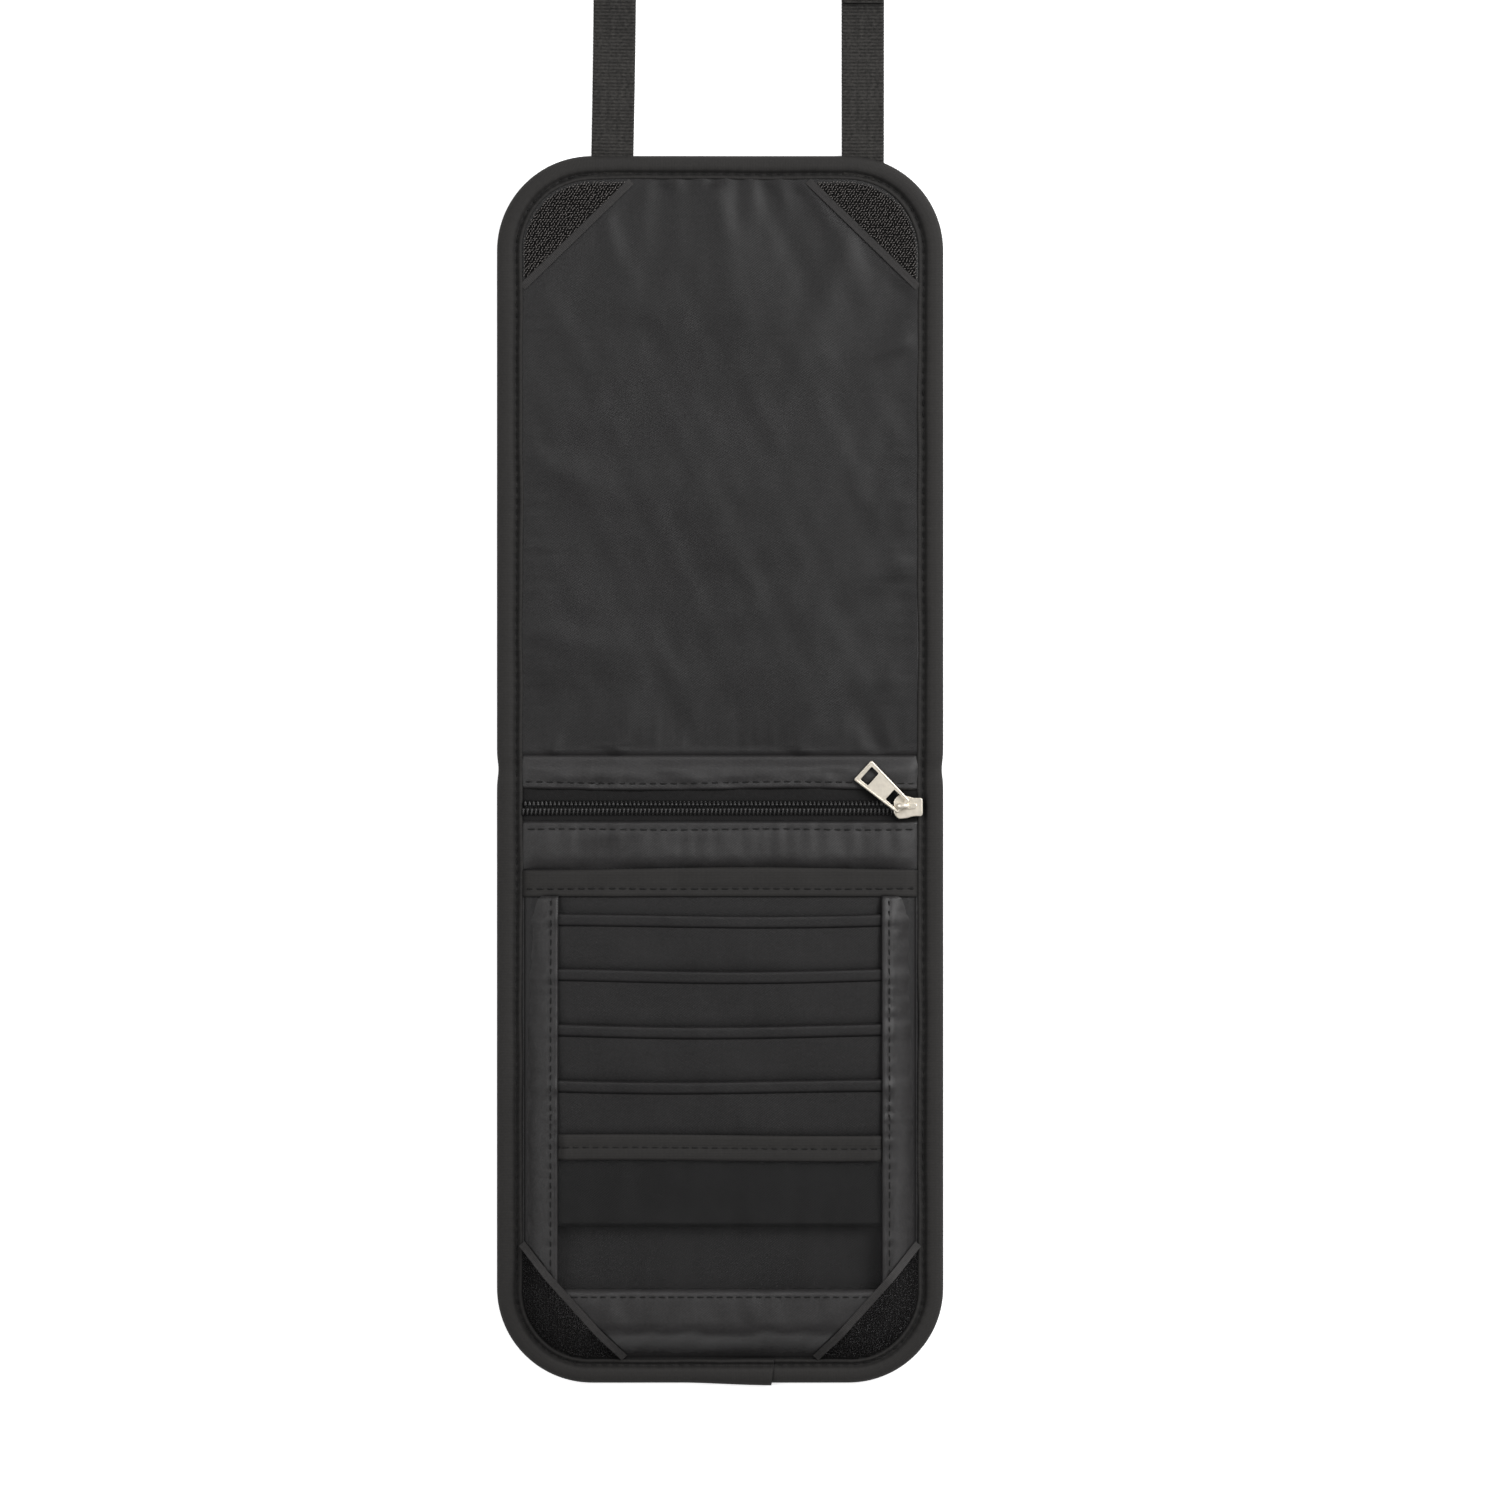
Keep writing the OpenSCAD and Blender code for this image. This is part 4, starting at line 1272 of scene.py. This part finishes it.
def card_corner_height(x, y):
    """Where the loop patches' ground lies on the card side's bottom panel."""
    return hill_height(x, y) + 0.25


# One hook or loop, how far apart they stand, and how unevenly they are placed and turned.
HOOK = {"mesh": bent_wire(0.25, 0.13, 3.9, stem=0.14),
        "pitch": (0.86, 0.66), "jitter": 0.14, "spin": 0.6, "turn": 0.8}
LOOP = {"mesh": bent_wire(0.28, 0.055, 3.4, steps=5, sides=3),
        "pitch": (0.44, 0.40), "jitter": 0.3, "spin": 3.1, "turn": 0.0}


# ---- Zip slider and pull ------------------------------------------------------

WING_LOW, WING_TOP = edge("slider_body", LOW, Z), edge("slider_body", HIGH, Z)
BRIDGE_LEFT, BRIDGE_RIGHT = edge("slider_bridge", LOW, X), edge("slider_bridge", HIGH, X)
BRIDGE_Y = middle_of("slider_bridge", Y)


def make_slider_body():
    """Slider body: shouldered wings, with a post and rails between them, and a crown under the bridge."""
    left, right = edge("slider_body", LOW, X), edge("slider_body", HIGH, X)
    middle = middle_of("slider_body", Y)
    half = length_of("slider_body", Y) / 2
    neck = right - 3.2
    near_side = [(left, half * 0.55), (left + 1.3, half), (neck - 1.0, half - 0.25), (neck + 0.4, 2.6)]
    near_side.append((right, 2.6))
    plan = [(px, middle - away) for px, away in near_side]
    plan += [(px, middle + away) for px, away in near_side[::-1]]
    upper = round_corners(plan, 0.8)
    lower = round_corners([(min(px, right - 2.2), py) for px, py in plan], 0.6)
    post = round_corners(rectangle(left + 0.4, left + 2.4, middle - 0.3, middle + 0.3), 0.2)
    crown_left, crown_right = BRIDGE_LEFT - 0.5, right - 1.6
    crown = round_corners([(crown_left, BRIDGE_Y - 1.2), (crown_right, BRIDGE_Y - 0.8),
                           (crown_right, BRIDGE_Y + 0.8), (crown_left, BRIDGE_Y + 1.2)], 0.8)
    parts = [
        plate("upper_wing", [upper], WING_TOP - 0.75, WING_TOP, 0.25, NICKEL),
        plate("lower_wing", [lower], WING_LOW, WING_LOW + 0.65, 0.2, NICKEL),
        plate("post", [post], WING_LOW + 0.4, WING_TOP - 0.4, 0.05, NICKEL),
        plate("crown", [crown], WING_TOP - 0.2, WING_TOP + 0.3, 0.2, NICKEL),
    ]
    for side in (-1, 1):
        x0, y0 = left + 1.4, middle + side * 3.1
        x1, y1 = right - 2.6, middle + side * 2.4
        rail = round_corners([(x0, y0 - 0.3), (x1, y1 - 0.3), (x1, y1 + 0.3), (x0, y0 + 0.3)], 0.2)
        parts.append(plate(f"rail_{side + 1}", [rail], WING_TOP - 1.15, WING_TOP - 0.5, 0.1, NICKEL))
    on_body(join("slider", parts), "zip_slider", "nickel_metal", "slider_body")


def make_slider_bridge():
    """The bridge over the slider's crown that holds the pull: a flat wire bent into an arch."""
    middle, reach = middle_of("slider_bridge", X), length_of("slider_bridge", X) / 2 - 0.45
    crest = edge("slider_bridge", HIGH, Z) - 1.2
    path = [(BRIDGE_LEFT + 0.45, WING_TOP - 0.1), (BRIDGE_LEFT + 0.4, WING_TOP + 0.9)]
    path += [(middle + reach * math.cos(a), crest + 0.8 * math.sin(a))
             for a in np.radians(np.linspace(165, 15, 12))]
    path += [(BRIDGE_RIGHT - 0.4, WING_TOP + 0.9), (BRIDGE_RIGHT - 0.45, WING_TOP - 0.1)]
    path = resample(np.array([(px, BRIDGE_Y, pz) for px, pz in path]), 0.15)[0]

    def knob(shape, run):
        """The bridge is wider where the pull hangs on it."""
        wider = 1 + 0.35 * bell(run - run[-1] * 0.35, 0.9)
        return shape * np.stack([wider, 0 * run + 1], -1)[:, None]

    bridge = sweep("slider_arch", path, same_way(path, ALONG_Y), circle(0.62, 0.4, 14), NICKEL, swell=knob)
    on_body(bridge, "zip_slider", "nickel_metal", "slider_bridge")


PULL_BACK, PULL_LENGTH = -0.42, 15.3         # the pull tab's two ends, from its pivot
PULL_TILT = 4                                # how far its tip dips as it lies, in degrees


def make_pull():
    """Pull tab: a tapered plate with a raised rim, a slot over the bridge and a window near its tip."""
    joint = next(j for j in frame["joints"] if j["name"] == "pull_swing")
    outline = [(PULL_BACK, -2.55), (PULL_LENGTH, -3.75), (PULL_LENGTH, 3.75), (PULL_BACK, 2.55)]
    outline = round_corners(outline, 0.6)
    slot_hole = round_corners([(0.36, -1.78), (0.36, 1.78), (4.9, 1.85), (4.9, -1.85)], 0.3)
    window = round_corners([(11.2, -2.3), (11.2, 2.3), (14.0, 2.45), (14.0, -2.45)], 0.4)
    core = plate("pull_core", [outline, slot_hole, window], -0.36, 0.30, 0.12, NICKEL)
    path = resample(np.array([(px, py, 0.0) for px, py in outline + outline[:1]]), 0.3)[0][:-1]
    inward = edge_frames(path)
    rim = sweep("pull_rim", path + inward * 0.34, inward, circle(0.30, 0.24, 10, 0.18), NICKEL, closed=True)
    tab = join("pull", [core, rim])
    axis = Vector(joint["axis"])
    turn = math.atan2(axis.x, -axis.y)
    tilted = Matrix.Rotation(turn, 4, "Z") @ Matrix.Rotation(math.radians(PULL_TILT), 4, "Y")
    tab.data.transform(Matrix.Translation(Vector(joint["pos_m"])) @ tilted)
    on_body(tab, "zip_pull", "nickel_metal", "pull_tab")


# ---- Strap --------------------------------------------------------------------

LEG_Z = 1.1                                  # height of the strap's legs above the ground
RING_Y = middle_of("strap_ring", Y)
RING_HALF = length_of("strap_ring", Y) / 2
RING_Z = middle_of("strap_ring", Z)
WIRE = length_of("strap_ring", Z) / 2
RUNNING_Z = RING_Z + WIRE + 0.05 + STRAP_T / 2
LOOP_R = (length_of("neck_webbing", X) - STRAP_T) / 2
LOOP_X = (LEG_LEFT + LEG_RIGHT) / 2
LOOP_Y = edge("neck_webbing", HIGH, Y) - STRAP_T / 2 - LOOP_R
EDGE_Z = STRAP_W / 2 + 0.1                   # middle of the webbing where it stands on edge
TWIST_Y = 310.0                              # where the strap starts to turn on edge
STUB_Y = HALF_L - 7.0                        # where the legs come out of the flap


def ribbed(shape, run):
    """Crosswise ribs along a webbing, and edges drawn in a little between them."""
    shape = shape.copy()
    swell = np.sin(2 * math.pi * run / RIB)
    shape[:, :, 1] *= 1 + 0.16 * swell[:, None]
    shape[:, :, 0] *= 1 + 0.006 * swell[:, None]
    shape[:, :, 0] *= 1 + 0.008 * np.sin(run / 31.0)[:, None]
    return shape


def webbing_profile(thickness):
    """Cross-section of the strap: flat, with slightly thicker woven edges."""
    w, t = STRAP_W / 2, STRAP_T / 2 * thickness
    top = [(w, 0.0), (w - 0.15, t * 0.8), (w - 0.7, t * 1.05), (w - 1.4, t * 0.86), (w * 0.5, t), (0.0, t)]
    half = top + [(-px, pz) for px, pz in top[-2::-1]]
    return half + [(px, -pz) for px, pz in half[-2:0:-1]]


def webbing(name, path, across, thickness=1.0):
    """A length of the strap's webbing; thickness is its share of the strap's own."""
    path, across = resample(np.asarray(path, float), RIB / 3, across)
    return sweep(name, path, across, webbing_profile(thickness), WEBBING, swell=ribbed)


def cubic(a, b, c, d, t):
    """A smooth curve from a to d that sets out towards b and arrives from c."""
    return a * (1 - t) ** 3 + 3 * b * t * (1 - t) ** 2 + 3 * c * t * t * (1 - t) + d * t ** 3


def strap_side(x0, z0, side):
    """One side of the neck loop: from lying flat at the twist to standing on edge at the loop."""
    t = np.linspace(0, 1, 40)
    tilt = ramp(np.minimum(1, t * 1.15)) * math.pi / 2
    x = cubic(x0, x0, LOOP_X + side * LOOP_R, LOOP_X + side * LOOP_R, t)
    y = cubic(TWIST_Y, TWIST_Y + 35, LOOP_Y - 45, LOOP_Y, t)
    z = z0 + (EDGE_Z - z0) * np.sin(tilt)
    return np.stack([x, y, z], -1), tilt


def leg_points(x, y0, y1, z, count):
    """Points along a straight length of webbing."""
    return [(x, y, z) for y in np.linspace(y0, y1, count)]


def turn_points(y, z, radius, first, last, count):
    """Points where the right leg's webbing turns round a bar at (y, z), between two angles in degrees."""
    return [(LEG_RIGHT, y + radius * math.cos(a), z + radius * math.sin(a))
            for a in np.radians(np.linspace(first, last, count))]


def make_neck_webbing():
    """The long webbing: up the left leg, round the neck, down the right leg and round the ring."""
    leg = np.array(leg_points(LEG_LEFT, STUB_Y, TWIST_Y - 2, LEG_Z, 90))
    leg[:, 0] += 0.9 * np.sin((leg[:, 1] - STUB_Y) / (TWIST_Y - STUB_Y) * math.pi)
    left, left_tilt = strap_side(LEG_LEFT, LEG_Z, -1)
    right, right_tilt = strap_side(LEG_RIGHT, RUNNING_Z, 1)
    a = np.linspace(math.pi, 0, 90)[1:-1]
    arc = np.stack([LOOP_X + LOOP_R * np.cos(a), LOOP_Y + LOOP_R * np.sin(a), 0 * a + EDGE_Z], -1)
    far = RING_Y + RING_HALF - WIRE
    wrap_r = RUNNING_Z - RING_Z
    end = leg_points(LEG_RIGHT, TWIST_Y - 2, far + 1, RUNNING_Z, 50)
    end += turn_points(far, RING_Z, wrap_r, 90, 270, 14)
    end += leg_points(LEG_RIGHT, far + 0.8, far + 5.5, RING_Z - wrap_r + 0.05, 5)
    path = np.vstack([leg, left, arc, right[::-1], end])
    tilt = np.concatenate([np.zeros(len(leg)), left_tilt, 0 * a + math.pi / 2, right_tilt[::-1],
                           np.zeros(len(end))])
    ahead = np.gradient(path, axis=0)
    out = np.stack([-ahead[:, 1], ahead[:, 0], 0 * tilt], -1)
    out[-len(end):] = ALONG_X
    out /= np.linalg.norm(out, axis=1)[:, None]
    across = out * np.cos(tilt)[:, None] - np.array([0, 0, 1]) * np.sin(tilt)[:, None]
    piece = webbing("strap_webbing", path, across)
    between(piece, "flap", "neck_strap", SWING_ZONE, "webbing", "neck_webbing", "strap_stub_left")


def make_strap_tab():
    """The short right leg, folded back round the ring and sewn down with a small box of stitches."""
    near = RING_Y - RING_HALF + WIRE
    wrap_r = WIRE + 0.05 + STRAP_T / 2
    path = leg_points(LEG_RIGHT, STUB_Y, near - 9, LEG_Z, 40)
    path += [(LEG_RIGHT, near - 4, LEG_Z - 0.35), (LEG_RIGHT, near - 1.2, RING_Z - wrap_r)]
    path += turn_points(near, RING_Z, wrap_r, -90, 90, 14)
    path += [(LEG_RIGHT, near - 2.0, RING_Z + wrap_r - 0.45), (LEG_RIGHT, near - 4.0, LEG_Z + STRAP_T - 0.05),
             (LEG_RIGHT, near - 13.0, LEG_Z + STRAP_T + 0.02)]
    piece = webbing("strap_short_leg", path, -same_way(path, ALONG_X))
    between(piece, "flap", "neck_strap", SWING_ZONE, "webbing", "strap_tab", "strap_stub_right")
    inset_x = STRAP_W / 2 - 1.6
    left, right, high, low = LEG_RIGHT - inset_x, LEG_RIGHT + inset_x, near - 5, near - 12
    box = [(left, high), (right, high), (right, low), (left, low), (left, high), (right, low)]
    stitches = stitch_row("tab_stitches", box, piece, pitch=2.0, seed=12, fallback=2.4)
    on_body(stitches, "neck_strap", "webbing")


def make_ring():
    """A bent wire ring with rounded corners."""
    half_x = length_of("strap_ring", X) / 2 - WIRE
    half_y = RING_HALF - WIRE
    corners = rectangle(LEG_RIGHT - half_x, LEG_RIGHT + half_x, RING_Y - half_y, RING_Y + half_y)
    loop = round_corners(corners, 1.6, 8)
    path = resample(np.array([(px, py, RING_Z) for px, py in loop + loop[:1]]), 0.4)[0][:-1]
    piece = sweep("ring", path, edge_frames(path), circle(WIRE, WIRE, 16), NICKEL, closed=True)
    on_body(piece, "neck_strap", "nickel_metal", "strap_ring")


GLIDE_BAR_Z = 1.35                           # height of the adjuster's centre bar


def make_glide():
    """The adjuster: a moulded frame of two rails and two high outer bars, with a low centre bar."""
    x0, x1 = edge("tri_glide", LOW, X), edge("tri_glide", HIGH, X)
    y0, y1 = edge("tri_glide", LOW, Y), edge("tri_glide", HIGH, Y)
    top, low = edge("tri_glide", HIGH, Z), edge("tri_glide", LOW, Z)
    rail, bar = 1.8, 1.9
    outline = round_corners(rectangle(x0, x1, y0, y1), rail)
    hole = round_corners(rectangle(x0 + rail, x1 - rail, y0 + bar, y1 - bar)[::-1], 0.6)
    parts = [plate("glide_frame", [outline, hole], top - 1.7, top, 0.5, GLIDE)]
    for name, left in (("glide_rail_1", x0), ("glide_rail_2", x1 - rail)):
        loop = round_corners(rectangle(left, left + rail, y0 + 0.2, y1 - 0.2), 0.8)
        parts.append(plate(name, [loop], low, top - 0.6, 0.35, GLIDE))
    middle = (y0 + y1) / 2
    path = np.array([(v, middle, GLIDE_BAR_Z) for v in np.linspace(x0 + 0.5, x1 - 0.5, 8)])
    parts.append(sweep("glide_bar", path, same_way(path, ALONG_Y), circle(0.6, 0.6, 14), GLIDE))
    piece = join("adjuster", parts)
    on_body(piece, "strap_adjuster", "black_plastic", "tri_glide")


def make_tail():
    """The webbing's tail, from under the ring to its sewn loop round the adjuster's centre bar."""
    start = RING_Y + RING_HALF - WIRE + 5.0
    bar_y = middle_of("tri_glide", Y)
    wrap_r = 0.95
    path = leg_points(LEG_RIGHT, start, bar_y - 2.5, 0.48, 16)
    path += turn_points(bar_y, GLIDE_BAR_Z, wrap_r, -90, 90, 10)
    path += [(LEG_RIGHT, bar_y - 2.2, 1.75), (LEG_RIGHT, bar_y - 7.5, 1.25)]
    piece = webbing("strap_tail", path, -same_way(path, ALONG_X), thickness=0.7)
    zone = ((0, (start + 0.5) * MM, 0), (0, (bar_y - 8.0) * MM, 0))
    between(piece, "neck_strap", "strap_adjuster", zone, "webbing", "webbing_tail", "tail_wrap")


# ---- Stage, lights and camera -------------------------------------------------

FLOOR_HALF, SOFTBOX = 3.0, 0.9               # half the floor's side and a lamp's side, in metres
FLOOR_GAP = 0.4                              # how far the floor lies under the pouch


def make_stage():
    """White floor, bright soft ceiling and a large soft key light with a weaker fill."""
    floor_mesh = bpy.data.meshes.new("floor")
    corners = rectangle(-FLOOR_HALF, FLOOR_HALF, -FLOOR_HALF, FLOOR_HALF)
    floor_mesh.from_pydata([(px, py, -FLOOR_GAP * MM) for px, py in corners], [], [(0, 1, 2, 3)])
    white = bpy.data.materials.new("floor_white")
    n = Nodes(white)
    n.set(Base_Color=(0.92, 0.92, 0.92, 1), Roughness=0.9, Specular_IOR_Level=0.1)
    n.set(Emission_Color=(1, 1, 1, 1), Emission_Strength=0.68)
    add_object("floor", floor_mesh, white)
    world = bpy.data.worlds.new("studio")
    n = Nodes(world, "Background")
    place = n.add("ShaderNodeTexCoord").outputs["Generated"]
    up = n.add("ShaderNodeSeparateXYZ", Vector=place).outputs["Z"]
    ceiling = n.add("ShaderNodeMapRange", Value=up, From_Min=0.6, From_Max=0.98, To_Min=0.16, To_Max=0.34)
    ceiling.interpolation_type = "SMOOTHSTEP"
    seen = n.add("ShaderNodeLightPath").outputs["Is Camera Ray"]
    n.set(Color=(1, 1, 1, 1), Strength=n.math("MAXIMUM", ceiling.outputs["Result"], seen))
    bpy.context.scene.world = world
    for name, place, power in (("key", (0.95, 0.6, 0.9), 21.0), ("fill", (-0.9, 0.2, 1.0), 7.0)):
        light = bpy.data.lights.new(name, "AREA")
        light.size = SOFTBOX
        light.energy = power
        lamp = add_object(name, light)
        lamp.location = place
        lamp.rotation_euler = (Vector((0, 0.02, 0)) - Vector(place)).to_track_quat("-Z", "Y").to_euler()
    bpy.context.scene.view_settings.view_transform = "Standard"


def make_camera():
    """Straight above, framed as the product shot: the strap's legs run out of the top of the picture."""
    middle = Vector((8.5 * MM, 5.5 * MM, 0))
    width = 427.2 * MM
    lens, sensor = 100.0, 36.0
    data = bpy.data.cameras.new("camera")
    data.lens = lens
    data.sensor_width = sensor
    camera = add_object("camera", data)
    camera.location = middle + Vector((0, 0, width * lens / sensor))
    bpy.context.scene.camera = camera


# ---- Build --------------------------------------------------------------------

make_stage()
make_camera()
make_shell()
make_lining()
make_facing()
make_zip_tapes()
make_coil("coil_top", 1)
make_coil("coil_bottom", 2)
make_front()
make_panel()
for slot_number in range(len(SLOTS)):
    make_slot(slot_number)
make_window()
make_frame()
for corner_side, side_name in ((-1, "left"), (1, "right")):
    make_patch("hook", side_name, corner_side, 1, HOOK, HOOKS, flap_corner_height)
    make_patch("loop", side_name, corner_side, -1, LOOP, PILE, card_corner_height)
make_binding()
make_binding_end()
make_slider_body()
make_slider_bridge()
make_pull()
make_neck_webbing()
make_strap_tab()
make_ring()
make_glide()
make_tail()
